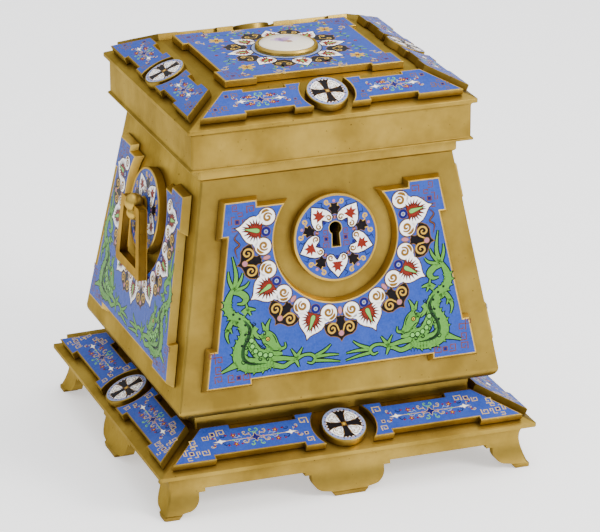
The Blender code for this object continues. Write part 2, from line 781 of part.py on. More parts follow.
def make_plaque(look):
    """Domed pale plaque in its setting."""
    radius = TOP_RING_R - TOP_RING_W - GAP
    profile = [(0, 0.0), (radius, 0.0)]
    for i in range(PLAQUE_STEPS):
        angle = math.pi / 2 * i / PLAQUE_STEPS
        profile.append((radius * math.cos(angle), PLAQUE_EDGE + PLAQUE_RISE * math.sin(angle)))
    profile.append((0, PLAQUE_EDGE + PLAQUE_RISE))
    place = Matrix.Translation((0, 0, RING_Z + TOP_RING_FLOOR + GAP))
    return new_object("top_plaque", turned(profile, TOP_RING_STEPS, place), look, smooth=True)


def main():
    for old in list(bpy.data.objects):
        bpy.data.objects.remove(old)
    gilt = material("gilt bronze", (0.52, 0.35, 0.12), 0.38, 1.0)
    enamel = material("blue enamel", (0.10, 0.20, 0.56), 0.22, 0.0)
    cream = material("cream enamel", (0.80, 0.74, 0.60), 0.2, 0.0)

    make_base(gilt)
    plinth_half = BASE_TOP_HALF - PLINTH_INSET
    plinth = tier([(plinth_half, PLINTH_Z), (plinth_half, PLINTH_Z + PLINTH_H)])
    new_object("plinth_block", plinth, gilt)
    make_body(gilt)
    make_lid(gilt)
    for side in SIDES:
        make_field_panel(side, enamel)
        make_roundel(side, enamel)
        on_base = base_face(side)
        on_lid = lid_face(side)
        for hand, word in ((-1, "left"), (1, "right")):
            name = side + "_" + word
            make_panel("base_panel_" + name, on_base, base_panel_outline(on_base, hand), enamel)
            make_panel("lid_panel_" + name, on_lid, lid_panel_outline(on_lid, hand), enamel)
        make_medallion("base_medallion_" + side, on_base, base_band(on_base), enamel)
        make_medallion("lid_medallion_" + side, on_lid, lid_band(on_lid), enamel)
    for side in ("left", "right"):
        make_post(side, gilt)
        make_handle(side, gilt)
    make_top_plate(enamel)
    make_top_ring(gilt)
    make_plaque(cream)


main()
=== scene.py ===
"""The looks of a gilt bronze reliquary casket with enamelled panels.

Outlines are in millimetres on the flat side that they lie on: x runs across the side
and y up it. MM turns them into metres when a mesh is made.
"""
import math

import bmesh
import bpy
from mathutils import Matrix, Vector


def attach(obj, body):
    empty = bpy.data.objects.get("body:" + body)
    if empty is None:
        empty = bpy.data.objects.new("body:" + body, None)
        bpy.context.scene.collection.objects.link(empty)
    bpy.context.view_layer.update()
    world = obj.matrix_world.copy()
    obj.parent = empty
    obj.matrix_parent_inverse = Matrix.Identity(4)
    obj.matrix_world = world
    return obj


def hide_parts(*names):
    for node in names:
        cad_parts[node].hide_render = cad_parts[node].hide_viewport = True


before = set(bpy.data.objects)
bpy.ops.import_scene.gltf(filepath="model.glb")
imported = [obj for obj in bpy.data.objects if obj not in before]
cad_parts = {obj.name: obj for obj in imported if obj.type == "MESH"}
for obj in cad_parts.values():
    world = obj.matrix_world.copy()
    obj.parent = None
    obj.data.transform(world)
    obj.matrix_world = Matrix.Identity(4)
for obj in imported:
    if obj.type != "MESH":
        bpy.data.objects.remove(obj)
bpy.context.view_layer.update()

MM = 0.001
SIDES = ("front", "right", "back", "left")

# Sizes of the casket, the same as the solids have.
GAP = 0.3
DEPTH_LESS = 6.9
CORNER_R = 1.0
CUT_PAST = 5.0
BASE_HALF = 125.0
BASE_FILLET_TOP = 30.5
BASE_FILLET_T = 2.4
BASE_TOP_HALF = 92.2
BASE_TOP_Z = 45.0
BASE_WALL = 4.5
COVE_TOP_IN = 4.3
COVE_LIP_H = 1.0
COVE_STEPS = 12
APRON_IN = 8.2
APRON_EDGE_Z = 16.7
APRON_BAND_H = 1.6
FOOT_IN = 2.9
FOOT_CORNER_LESS = 12.8
FOOT_CENTRE_HALF = 10.2
FLARE_BEND = 1.6
FLARE_STEPS = 10
TOE_Z = 2.2
TOE_STEP = 0.9
TOE_STEP_H = 0.5
PLINTH_H = 12.0
BODY_BOTTOM_R = 6.0
BODY_BOTTOM_STEPS = 12
BODY_LOW_HALF = 106.4
BODY_TOP_HALF = 82.75
BODY_WALL_H = 140.4
BODY_WALL = 6.6
BODY_FLOOR = 6.0
BODY_FLOOR_UPRIGHT = 6.0
STEP_OUT = 1.85
STEP_RISE = 1.6
STEP_H = 7.6
FIELD_T = 5.4
FIELD_SPREAD = 2.0
FIELD_BORDER = 0.8
FIELD_EAR_MARGIN = 15.5
FIELD_MARGIN = 19.7
FIELD_FOOT = 14.3
FIELD_FOOT_STEP = 3.4
FIELD_LOW_EAR_H = 21.6
FIELD_LOW_EAR_W = 27.5
FIELD_TOP_MARGIN = 15.0
FIELD_TOP_STEP = 4.1
FIELD_HIGH_EAR_H = 19.6
FIELD_HIGH_EAR_W = 19.2
FIELD_ARC_R = 41.4
ROUNDEL_DOWN = 43.6
ROUNDEL_R = 27.6
ROUNDEL_ENAMEL_R = 26.2
ROUNDEL_T = 6.1
ROUNDEL_SUNK = 0.4
ROUNDEL_BEVEL = 0.5
KEYHOLE_UP = 6.0
KEYHOLE_R = 4.0
KEYHOLE_DROP = 11.6
KEYHOLE_NECK = 4.4
KEYHOLE_FOOT = 5.4
POST_BALL_R = 6.0
POST_BEAD_R = 4.9
POST_BALL_RISE = 2.4
POST_BEAD_DROP = 4.3
POST_STEM_R = 3.4
POST_ROSE_R = 6.6
POST_ROSE_T = 1.4
POST_OUT = 6.8
POST_RISE = 3.6
PIN_BORE_R = 2.6
PANEL_T = 5.0
PANEL_BORDER = 1.4
PANEL_EDGE = 0.55
PANEL_HIP_GAP = 6.2
MEDALLION_T = 5.2
MEDALLION_BEVEL = 0.5
MEDALLION_RIM = 0.9
BASE_PANEL = dict(low_step=3.5, low_ear=23.8, high_step=3.6, high_ear=17.2, inner_ear=28.0)
LID_PANEL = dict(low_step=2.6, low_ear=25.2, high_step=2.6, high_ear=11.0, inner_ear=23.5)
BASE_BAND = dict(low=6.3, top_margin=4.5, lift=-0.2, over=2.1, bay=7.4)
LID_BAND = dict(low=6.4, top_margin=6.0, lift=0.7, over=3.3, bay=5.2)
SCALLOP = (5.4, 12.2, 8.7)    # middle and radius of a bracket foot's scallop
BRACKET_LOW = [(0.0, -1.0), (0.0, 0.6), (2.4, 3.0)]
BRACKET_HIGH = [(14.1, 14.4), (18.3, 14.4)]
LID_OVERHANG = 8.55
LID_LOW_FILLET = 1.3
LID_LOW_FILLET_T = 1.8
LID_H = 27.0
LID_TOP_FILLET = 3.1
LID_TOP_FILLET_T = 2.5
LID_SLOPE_RUN = 29.8
LID_SLOPE_RISE = 13.2
LID_WALL = 4.8
TOP_PLATE_MARGIN = 5.8
TOP_PLATE_T = 4.3
TOP_PLATE_EAR = 21.0
TOP_PLATE_STEP = 3.6
TOP_RING_R = 20.0
TOP_RING_W = 2.2
TOP_RING_T = 3.2
TOP_RING_FLOOR = 1.2
PLAQUE_RISE = 2.4
PLAQUE_EDGE = 1.4

BODY_Z = BASE_TOP_Z + PLINTH_H + 2 * GAP
BODY_LOW_Z = BODY_Z + BODY_BOTTOM_R
BODY_TOP_Z = BODY_LOW_Z + BODY_WALL_H
BODY_TAPER = (BODY_LOW_HALF - BODY_TOP_HALF) / BODY_WALL_H
ROUNDEL_UP = math.hypot(BODY_WALL_H, BODY_LOW_HALF - BODY_TOP_HALF) - ROUNDEL_DOWN
RIM_Z = BODY_TOP_Z + STEP_RISE + STEP_H
LID_Z = RIM_Z + GAP
LID_HALF = BODY_TOP_HALF + LID_OVERHANG
LID_FILLET_Z = LID_Z + LID_H
LID_TOP_HALF = LID_HALF + LID_TOP_FILLET
LID_FLAT_HALF = LID_TOP_HALF - LID_SLOPE_RUN
LID_FLAT_Z = LID_FILLET_Z + LID_SLOPE_RISE
PLATE_Z = LID_FLAT_Z + GAP
TOP_PLATE_HALF = LID_FLAT_HALF - TOP_PLATE_MARGIN
TOP_PLATE_DEPTH = TOP_PLATE_HALF - DEPTH_LESS
RING_Z = PLATE_Z + TOP_PLATE_T + GAP

# Thicknesses of the enamel work, in millimetres.
GROUND_RISE = 0.03            # the ground enamel, over the metal
LEVEL_RISE = 0.02             # each colour laid over another
SEAT = 0.10                   # how deep the enamel sinks into the metal


def srgb(red, green, blue):
    """Turn a screen colour, 0 to 255, into the linear values that a shader takes."""
    def linear(value):
        share = value / 255
        return share / 12.92 if share <= 0.04045 else ((share + 0.055) / 1.055) ** 2.4
    return (linear(red), linear(green), linear(blue), 1.0)


class Shader:
    """Short way to add and join a material's or a group's nodes."""

    def __init__(self, tree):
        self.tree = tree

    def add(self, kind, **settings):
        node = self.tree.nodes.new(kind)
        for name, value in settings.items():
            setattr(node, name, value)
        return node

    def join(self, source, target):
        self.tree.links.new(source, target)

    def feed(self, socket, value):
        """Give a socket a constant, or join another socket to it."""
        if isinstance(value, bpy.types.NodeSocket):
            self.join(value, socket)
        else:
            socket.default_value = value

    def fill(self, node, values):
        """Feed the inputs of a node by their names."""
        for name, value in values.items():
            self.feed(node.inputs[name], value)

    def noise(self, where, scale, detail=3.0, rough=0.55, stretch=None):
        """Noise over object coordinates; stretch is a scale for each axis."""
        if stretch is not None:
            mapping = self.add("ShaderNodeMapping")
            self.fill(mapping, {"Scale": stretch, "Vector": where})
            where = mapping.outputs["Vector"]
        made = self.add("ShaderNodeTexNoise")
        self.fill(made, {"Scale": scale, "Detail": detail, "Roughness": rough, "Vector": where})
        return made.outputs["Fac"]

    def span(self, value, low, high, to_low=0.0, to_high=1.0):
        """Map a value from one range to another, held at both ends."""
        made = self.add("ShaderNodeMapRange")
        self.fill(made, {"From Min": low, "From Max": high, "To Min": to_low, "To Max": to_high,
                         "Value": value})
        return made.outputs["Result"]

    def mix(self, share, first, second, blend="MIX"):
        """Mix two colours; share, first and second are sockets or values."""
        made = self.add("ShaderNodeMix", data_type="RGBA", blend_type=blend)
        for key, value in (("Factor_Float", share), ("A_Color", first), ("B_Color", second)):
            self.feed(next(s for s in made.inputs if s.identifier == key), value)
        return next(s for s in made.outputs if s.identifier == "Result_Color")

    def maths(self, operation, first, second):
        made = self.add("ShaderNodeMath", operation=operation)
        for socket, value in zip(made.inputs, (first, second)):
            self.feed(socket, value)
        return made.outputs["Value"]

    def place(self, group, **values):
        """Put a node group here; values are sockets or constants for its inputs."""
        made = self.add("ShaderNodeGroup")
        made.node_tree = group
        self.fill(made, {name.replace("_", " "): value for name, value in values.items()})
        return made


def new_group(name, inputs, outputs):
    """Empty shader group; inputs and outputs are (name, socket type, default) rows."""
    group = bpy.data.node_groups.new(name, "ShaderNodeTree")
    for title, kind, start in inputs:
        socket = group.interface.new_socket(title, in_out="INPUT", socket_type=kind)
        socket.default_value = start
    for title, kind in outputs:
        group.interface.new_socket(title, in_out="OUTPUT", socket_type=kind)
    nodes = Shader(group)
    return group, nodes, nodes.add("NodeGroupInput"), nodes.add("NodeGroupOutput")


def make_gilding_group():
    """Uneven fire gilding: cloudy tone, fine brushing and a few dark specks."""
    group, nodes, given, result = new_group(
        "uneven gilding",
        [("Light Gold", "NodeSocketColor", (0.6, 0.42, 0.18, 1)),
         ("Deep Gold", "NodeSocketColor", (0.4, 0.25, 0.08, 1)),
         ("Speck", "NodeSocketFloat", 1.0)],
        [("Color", "NodeSocketColor"), ("Roughness", "NodeSocketFloat"), ("Height", "NodeSocketFloat")])
    where = nodes.add("ShaderNodeTexCoord").outputs["Object"]
    cloud = nodes.span(nodes.noise(where, 26.0, 4.0, 0.6), 0.35, 0.68)
    colour = nodes.mix(cloud, given.outputs["Deep Gold"], given.outputs["Light Gold"])
    blotch = nodes.span(nodes.noise(where, 140.0, 3.0, 0.6), 0.62, 0.78, 0.0, 0.35)
    colour = nodes.mix(blotch, colour, given.outputs["Deep Gold"])
    speck = nodes.span(nodes.noise(where, 420.0, 2.0, 0.5), 0.73, 0.78)
    speck = nodes.maths("MULTIPLY", speck, given.outputs["Speck"])
    colour = nodes.mix(speck, colour, srgb(70, 44, 16))
    grain = nodes.noise(where, 900.0, 2.0, 0.6, (1.0, 1.0, 0.12))
    matt = nodes.noise(where, 2600.0, 2.0, 0.5)
    rough = nodes.maths("ADD", nodes.span(cloud, 0.0, 1.0, 0.40, 0.32),
                        nodes.span(grain, 0.3, 0.7, -0.04, 0.04))
    rough = nodes.maths("ADD", rough, nodes.maths("MULTIPLY", speck, 0.3))
    height = nodes.maths("ADD", nodes.maths("MULTIPLY", grain, 0.5), nodes.maths("MULTIPLY", matt, 0.5))
    height = nodes.maths("SUBTRACT", height, nodes.maths("MULTIPLY", speck, 0.8))
    nodes.fill(result, {"Color": colour, "Roughness": rough, "Height": height})
    return group


def make_recess_group():
    """Mask of inner corners, found by ambient occlusion, where painted shade goes."""
    group, nodes, given, result = new_group(
        "painted shade in corners",
        [("Reach", "NodeSocketFloat", 0.006), ("Strength", "NodeSocketFloat", 0.6)],
        [("Mask", "NodeSocketFloat")])
    # Ambient occlusion marks where light is blocked; the mask paints shade there.
    hollow = nodes.add("ShaderNodeAmbientOcclusion", samples=6, only_local=False)
    nodes.join(given.outputs["Reach"], hollow.inputs["Distance"])
    where = nodes.add("ShaderNodeTexCoord").outputs["Object"]
    uneven = nodes.span(nodes.noise(where, 180.0, 3.0, 0.6), 0.3, 0.7, 0.65, 1.1)
    mask = nodes.span(hollow.outputs["AO"], 0.35, 0.92, 1.0, 0.0)
    mask = nodes.maths("MULTIPLY", nodes.maths("MULTIPLY", mask, uneven), given.outputs["Strength"])
    nodes.join(mask, result.inputs["Mask"])
    return group


def make_enamel_group():
    """Fired enamel: slight clouding, tiny pits and a soft wave in the gloss."""
    group, nodes, given, result = new_group(
        "fired enamel",
        [("Tint", "NodeSocketColor", (0.1, 0.2, 0.6, 1)), ("Cloud", "NodeSocketFloat", 0.5)],
        [("Color", "NodeSocketColor"), ("Roughness", "NodeSocketFloat"), ("Height", "NodeSocketFloat")])
    where = nodes.add("ShaderNodeTexCoord").outputs["Object"]
    fine = nodes.span(nodes.noise(where, 750.0, 3.0, 0.6), 0.3, 0.7)
    broad = nodes.span(nodes.noise(where, 90.0, 3.0, 0.55), 0.35, 0.65)
    dark = nodes.mix(1.0, given.outputs["Tint"], (0.72, 0.74, 0.80, 1), "MULTIPLY")
    light = nodes.mix(0.018, given.outputs["Tint"], (0.85, 0.88, 0.95, 1))
    share = nodes.maths("ADD", nodes.maths("MULTIPLY", fine, 0.6), nodes.maths("MULTIPLY", broad, 0.4))
    varied = nodes.mix(share, dark, light)
    colour = nodes.mix(given.outputs["Cloud"], given.outputs["Tint"], varied)
    pit = nodes.span(nodes.noise(where, 1300.0, 1.0, 0.5), 0.72, 0.78)
    colour = nodes.mix(nodes.maths("MULTIPLY", pit, 0.6), colour, srgb(36, 30, 34))
    rough = nodes.span(broad, 0.0, 1.0, 0.24, 0.34)
    height = nodes.maths("SUBTRACT", nodes.maths("MULTIPLY", broad, 0.5), pit)
    nodes.fill(result, {"Color": colour, "Roughness": rough, "Height": height})
    return group


def new_material(name):
    made = bpy.data.materials.new(name)
    made.use_nodes = True
    nodes = Shader(made.node_tree)
    return made, nodes, made.node_tree.nodes["Principled BSDF"]


def add_bump(nodes, shader, height, strength, distance):
    bump = nodes.add("ShaderNodeBump")
    nodes.fill(bump, {"Strength": strength, "Distance": distance, "Height": height})
    nodes.join(bump.outputs["Normal"], shader.inputs["Normal"])


# Brown of the painted shade laid into inner corners.
CORNER_SHADE_BROWN = srgb(84, 56, 16)
EDGE_TINT = (0.62, 0.55, 0.40, 1)     # gilding seen at a shallow angle
GILT_METAL = 0.92
GILT_RELIEF = 0.0002                  # depth of the brushing, in metres
ENAMEL_RELIEF = 0.00012
ENAMEL_GLOSS = {"Coat Weight": 0.01, "Coat Roughness": 0.12, "Specular IOR Level": 0.03}
PLAQUE_GLOSS = {"Roughness": 0.18, "Coat Weight": 0.5, "Coat Roughness": 0.06}


def gilt_material(name, light, deep, painted_shade=0.6, speck=1.0, reach=0.007):
    """Matt fire-gilt bronze with painted shade, brown, in its corners."""
    made, nodes, shader = new_material(name)
    gilding = nodes.place(GILDING, Light_Gold=light, Deep_Gold=deep, Speck=speck)
    corner = nodes.place(RECESS, Reach=reach, Strength=painted_shade)
    # Painted shade: the corner mask mixes brown into the gilding where light is blocked.
    colour = nodes.mix(corner.outputs["Mask"], gilding.outputs["Color"], CORNER_SHADE_BROWN)
    rough = nodes.maths("ADD", gilding.outputs["Roughness"],
                        nodes.maths("MULTIPLY", corner.outputs["Mask"], 0.15))
    nodes.fill(shader, {"Base Color": colour, "Roughness": rough, "Metallic": GILT_METAL,
                        "Specular Tint": EDGE_TINT})
    add_bump(nodes, shader, gilding.outputs["Height"], 0.22, GILT_RELIEF)
    return made


def enamel_material(name, tint, cloud=0.6):
    """Opaque enamel of one colour."""
    made, nodes, shader = new_material(name)
    fired = nodes.place(ENAMEL, Tint=tint, Cloud=cloud)
    nodes.fill(shader, {"Base Color": fired.outputs["Color"], "Roughness": fired.outputs["Roughness"]})
    nodes.fill(shader, ENAMEL_GLOSS)
    add_bump(nodes, shader, fired.outputs["Height"], 0.15, ENAMEL_RELIEF)
    return made


GILDING = make_gilding_group()
RECESS = make_recess_group()
ENAMEL = make_enamel_group()

GILT = gilt_material("matt gilding", srgb(158, 132, 58), srgb(124, 100, 38))
# Lighter copy of the gilding for raised blocks, roundels, posts and the top plate: painted highlight.
GILT_PAINTED_HIGHLIGHT = gilt_material("gilding lightened for painted highlight", srgb(206, 174, 84), srgb(170, 138, 56), 0.45, 0.5)
GILT_HANDLE = gilt_material("handled gilding", srgb(176, 138, 52), srgb(124, 92, 28), 0.7, 1.0)

ENAMELS = {                   # short name: (full name, screen colour, cloudiness)
    "blue": ("blue enamel", (44, 72, 158), 0.9),
    "white": ("white enamel", (252, 250, 245), 0.3),
    "brick": ("brick enamel", (120, 34, 20), 0.6),
    "green": ("leaf green enamel", (88, 146, 58), 0.7),
    "shade green": ("shade green enamel", (34, 68, 30), 0.6),
    "dark green": ("dark green enamel", (18, 30, 22), 0.4),
    "pale green": ("pale green enamel", (112, 180, 84), 0.4),
    "black": ("black enamel", (20, 16, 18), 0.3),
    "yellow": ("yellow enamel", (196, 156, 52), 0.4),
    "navy": ("navy enamel", (24, 20, 96), 0.5),
    "pink": ("pink enamel", (172, 110, 124), 0.4),
    "grey": ("grey blue enamel", (134, 150, 188), 0.5),
    "shade blue": ("shade blue enamel", (26, 34, 78), 0.5),
    "dark wire": ("dark line enamel", (44, 36, 36), 0.3),
    "wire": ("dull gilt wire", (112, 80, 38), 0.5),
    "scroll": ("dull gilt scroll", (126, 90, 32), 0.5),
    "fret": ("reddish gilt line", (104, 62, 40), 0.5),
    "pale gold": ("pale gilt line", (190, 162, 98), 0.4),
}
COLOURS = {}
for short, (title, tint, cloud) in ENAMELS.items():
    COLOURS[short] = enamel_material(title, srgb(*tint), cloud)


def finish_object(made, body, replaced=()):
    """Say what a piece rides on and the solids that it stands for."""
    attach(made, body)
    if replaced:
        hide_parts(*replaced)
    return made


def new_object(name, mesh):
    made = bpy.data.objects.new(name, mesh)
    bpy.context.scene.collection.objects.link(made)
    return made


def mesh_from(bm, name):
    """Close a bmesh in millimetres off as a mesh in metres."""
    bmesh.ops.remove_doubles(bm, verts=bm.verts, dist=1e-4)
    bmesh.ops.recalc_face_normals(bm, faces=bm.faces)
    bmesh.ops.scale(bm, vec=(MM, MM, MM), verts=bm.verts)
    mesh = bpy.data.meshes.new(name)
    bm.to_mesh(mesh)
    bm.free()
    return mesh


def soften(made, width, smooth_angle=32.0, segments=2):
    """Round the hard edges a little, as hand finishing leaves them."""
    bevel = made.modifiers.new("softened edges", "BEVEL")
    bevel.limit_method = "ANGLE"
    bevel.angle_limit = math.radians(smooth_angle)
    bevel.width = width * MM
    bevel.segments = segments
    bevel.harden_normals = False
    made.data.shade_smooth()
    weigh = made.modifiers.new("even shading", "WEIGHTED_NORMAL")
    weigh.keep_sharp = True
    weigh.weight = 60


def gild(made, node, look=GILT, width=0.3, angle=32.0):
    """Gild a piece, soften its edges and let it stand for a solid of the same shape."""
    made.data.materials.clear()
    made.data.materials.append(look)
    soften(made, width, angle)
    return finish_object(made, "root", [node])


def gilt_block(name, bm, node, look=GILT, width=0.3, angle=32.0):
    return gild(new_object(name, mesh_from(bm, name)), node, look, width, angle)


def combine(target, tools, operation="DIFFERENCE"):
    """Apply exact booleans and take the tools away."""
    for tool in tools:
        step = target.modifiers.new("combine", "BOOLEAN")
        step.operation = operation
        step.solver = "EXACT"
        step.object = tool
    graph = bpy.context.evaluated_depsgraph_get()
    result = bpy.data.meshes.new_from_object(target.evaluated_get(graph))
    target.modifiers.clear()
    old = target.data
    target.data = result
    bpy.data.meshes.remove(old)
    for tool in tools:
        bpy.data.objects.remove(tool)


def loft(rings):
    """Closed skin through rings of points that all have the same count."""
    bm = bmesh.new()
    rows = [[bm.verts.new(point) for point in ring] for ring in rings]
    count = len(rows[0])
    for low, high in zip(rows, rows[1:]):
        for i in range(count):
            j = (i + 1) % count
            bm.faces.new((low[i], low[j], high[j], high[i]))
    bm.faces.new(list(reversed(rows[0])))
    bm.faces.new(rows[-1])
    return bm


def plan_ring(half_x, half_y, z, radius=CORNER_R):
    """A level rectangle with chamfered corners."""
    points = []
    for quarter, (sx, sy) in enumerate(((1, 1), (-1, 1), (-1, -1), (1, -1))):
        for i in range(2):
            angle = math.pi / 2 * (quarter + i)
            x = sx * (half_x - radius) + radius * math.cos(angle)
            y = sy * (half_y - radius) + radius * math.sin(angle)
            points.append((x, y, z))
    return points


def tier(levels, radius=CORNER_R):
    """Stack of level rectangles given as (half width, z)."""
    return loft([plan_ring(half, half - DEPTH_LESS, z, radius) for half, z in levels])


def arc(centre_x, centre_y, radius, start, end, steps):
    """Points along an arc, both ends included."""
    points = []
    for i in range(steps + 1):
        angle = start + (end - start) * i / steps
        points.append((centre_x + radius * math.cos(angle), centre_y + radius * math.sin(angle)))
    return points


def circle(x, y, radius, steps=24):
    return arc(x, y, radius, 0, math.tau * (steps - 1) / steps, steps - 1)


class Face:
    """A flat side: its middle at the foot, the way across, up the face and out of it."""

    def __init__(self, side, low_half, low_z, high_half, high_z):
        turn = Matrix.Rotation(math.pi / 2 * SIDES.index(side), 3, "Z")
        across_less, out_less = (0.0, DEPTH_LESS) if side in ("front", "back") else (DEPTH_LESS, 0.0)
        low = turn @ Vector((0, -(low_half - out_less), low_z))
        high = turn @ Vector((0, -(high_half - out_less), high_z))
        self.across = turn @ Vector((1, 0, 0))
        self.up = (high - low).normalized()
        self.out = self.across.cross(self.up)
        self.origin = low
        self.length = (high - low).length
        self.half = low_half - across_less
        self.taper = (low_half - high_half) / self.length

    def point(self, across, up, out=0.0):
        return self.origin + self.across * across + self.up * up + self.out * out

    def matrix(self, across, up, out=0.0):
        turn = Matrix((self.across, self.up, self.out)).transposed().to_4x4()
        return Matrix.Translation(self.point(across, up, out)) @ turn


class Level:
    """The lid's flat top, used like a side."""

    def __init__(self, z):
        self.z = z

    def point(self, across, up, out=0.0):
        return Vector((across, up, self.z + out))


def outward(outline, distance):
    """Move each edge of a flat outline, drawn anticlockwise, outwards."""
    moved = []
    count = len(outline)
    for i in range(count):
        before = Vector(outline[i - 1])
        here = Vector(outline[i])
        after = Vector(outline[(i + 1) % count])
        first = (here - before).normalized()
        second = (after - here).normalized()
        normal_a = Vector((first.y, -first.x))
        normal_b = Vector((second.y, -second.x))
        middle = (normal_a + normal_b).normalized()
        moved.append(tuple(here + middle * (distance / middle.dot(normal_a))))
    return moved


def slab(face, outline, steps):
    """Block on a face, through (height, outward offset) steps."""
    rings = []
    for height, offset in steps:
        rings.append([face.point(x, up, height) for x, up in outward(outline, offset)])
    return loft(rings)


def turned(profile, steps, placement):
    """Turn (radius, height) points round the Z axis; both ends lie on the axis."""
    bm = bmesh.new()
    rows = []
    for radius, height in profile:
        if radius == 0:
            rows.append([bm.verts.new(placement @ Vector((0, 0, height)))])
            continue
        row = []
        for i in range(steps):
            angle = math.tau * i / steps
            spot = Vector((radius * math.cos(angle), radius * math.sin(angle), height))
            row.append(bm.verts.new(placement @ spot))
        rows.append(row)
    for low, high in zip(rows, rows[1:]):
        for i in range(steps):
            j = (i + 1) % steps
            if len(low) == 1:
                bm.faces.new((low[0], high[j], high[i]))
            elif len(high) == 1:
                bm.faces.new((low[i], low[j], high[0]))
            else:
                bm.faces.new((low[i], low[j], high[j], high[i]))
    return bm


def body_face(side):
    return Face(side, BODY_LOW_HALF, BODY_LOW_Z, BODY_TOP_HALF, BODY_TOP_Z)


def base_face(side):
    return Face(side, BASE_HALF, BASE_FILLET_TOP, BASE_TOP_HALF, BASE_TOP_Z)


def lid_face(side):
    return Face(side, LID_TOP_HALF, LID_FILLET_Z, LID_FLAT_HALF, LID_FLAT_Z)


def field_outline(face, arc_steps=96):
    """Enamel outline of a wall's field, with four ears and a round bay at the top."""
    def edge(up, margin):
        return face.half - face.taper * up - margin

    foot_mid = FIELD_FOOT + FIELD_FOOT_STEP
    low_ear_top = FIELD_FOOT + FIELD_LOW_EAR_H
    top = face.length - FIELD_TOP_MARGIN
    top_mid = top - FIELD_TOP_STEP
    high_ear_low = top - FIELD_HIGH_EAR_H
    low_ear_in = edge(FIELD_FOOT, FIELD_EAR_MARGIN) - FIELD_LOW_EAR_W
    high_ear_in = edge(top, FIELD_EAR_MARGIN) - FIELD_HIGH_EAR_W
    right = [
        (low_ear_in, foot_mid),
        (low_ear_in, FIELD_FOOT),
        (edge(FIELD_FOOT, FIELD_EAR_MARGIN), FIELD_FOOT),
        (edge(low_ear_top, FIELD_EAR_MARGIN), low_ear_top),
        (edge(low_ear_top, FIELD_MARGIN), low_ear_top),
        (edge(high_ear_low, FIELD_MARGIN), high_ear_low),
        (edge(high_ear_low, FIELD_EAR_MARGIN), high_ear_low),
        (edge(top, FIELD_EAR_MARGIN), top),
        (high_ear_in, top),
        (high_ear_in, top_mid),
    ]
    bay = math.asin((top_mid - ROUNDEL_UP) / FIELD_ARC_R)
    bottom = arc(0, ROUNDEL_UP, FIELD_ARC_R, bay, -math.pi - bay, arc_steps)
    left = [(-x, up) for x, up in reversed(right)]
    return right + bottom + left


class SlopeBand:
    """Where the panels and the medallion of one slope stand."""

    def __init__(self, face, low, top_margin, lift, over, bay):
        self.low = low
        self.high = face.length - top_margin
        self.centre_up = (self.low + self.high) / 2 + lift
        self.medallion_r = (self.high - self.low) / 2 + over
        self.arc_r = self.medallion_r + bay


def base_band(face):
    return SlopeBand(face, **BASE_BAND)


def lid_band(face):
    return SlopeBand(face, **LID_BAND)


def panel_outline(face, hand, band, low_step, low_ear, high_step, high_ear, inner_ear, arc_steps=32):
    """Enamel outline of a slope panel between a hip and a medallion."""
    def hip(up):
        return face.half - face.taper * up - PANEL_HIP_GAP

    low_mid = band.low + low_step
    high_mid = band.high - high_step
    start = math.asin((band.high - band.centre_up) / band.arc_r)
    end = math.asin((band.low - band.centre_up) / band.arc_r)
    points = [
        (hip(band.low), band.low),
        (hip(band.high), band.high),
        (hip(band.high) - high_ear, band.high),
        (hip(band.high) - high_ear, high_mid),
        (inner_ear, high_mid),
        (inner_ear, band.high),
    ]
    points += arc(0, band.centre_up, band.arc_r, start, end, arc_steps)
    points += [
        (inner_ear, band.low),
        (inner_ear, low_mid),
        (hip(band.low) - low_ear, low_mid),
        (hip(band.low) - low_ear, band.low),
    ]
    if hand < 0:
        points = [(-x, up) for x, up in reversed(points)]
    return points


def make_base():
    """Footed base with its coves and scalloped apron."""
    cove_top = BASE_FILLET_TOP - BASE_FILLET_T
    waist = BASE_HALF - APRON_IN
    toe = BASE_HALF - FOOT_IN
    cove_from = BASE_HALF - COVE_TOP_IN
    waist_z = APRON_EDGE_Z + APRON_BAND_H
    levels = [(BASE_TOP_HALF, BASE_TOP_Z), (BASE_HALF, BASE_FILLET_TOP), (BASE_HALF, cove_top)]
    for i in range(COVE_STEPS + 1):
        angle = math.pi / 2 * i / COVE_STEPS
        half = waist + (cove_from - waist) * (1 - math.sin(angle))
        levels.append((half, waist_z + (cove_top - COVE_LIP_H - waist_z) * math.cos(angle)))
    for i in range(1, FLARE_STEPS + 1):
        share = i / FLARE_STEPS
        half = waist + (toe - TOE_STEP - waist) * share ** FLARE_BEND
        levels.append((half, waist_z + (TOE_Z + TOE_STEP_H - waist_z) * share))
    levels += [(toe, TOE_Z), (toe, 0.0)]
    base = new_object("casket_base", mesh_from(tier(list(reversed(levels))), "casket base"))
    inner = waist - BASE_WALL
    run, rise = BASE_HALF - BASE_TOP_HALF, BASE_TOP_Z - BASE_FILLET_TOP
    under = BASE_WALL * math.hypot(run, rise) / run
    inner_top = BASE_FILLET_TOP + (BASE_HALF - inner) * rise / run - under
    hollow = tier([(inner, -CUT_PAST), (inner, inner_top), (BASE_TOP_HALF, BASE_TOP_Z - under)])
    tools = [new_object("base_hollow", mesh_from(hollow, "hollow"))]
    bracket = BRACKET_LOW + arc(*SCALLOP, -math.pi * 0.42, -math.pi * 0.06, 14) + BRACKET_HIGH
    reach = BASE_HALF + CUT_PAST
    for hand in (-1, 1):
        for along_y, less in ((True, 0.0), (False, DEPTH_LESS)):
            far_half = BASE_HALF - FOOT_CORNER_LESS - less
            near = [(FOOT_CENTRE_HALF + x, z) for x, z in bracket]
            far = [(far_half - x, z) for x, z in bracket]
            top = [(near[-1][0], APRON_EDGE_Z), (far[-1][0], APRON_EDGE_Z)]
            outline = [(hand * x, z) for x, z in near + top + list(reversed(far))]
            rings = []
            for side in (-reach, reach):
                rings.append([(x, side, z) if along_y else (side, x, z) for x, z in outline])
            tools.append(new_object("foot_gap", mesh_from(loft(rings), "gap")))
    combine(base, tools)
    return gild(base, "base", width=0.35)


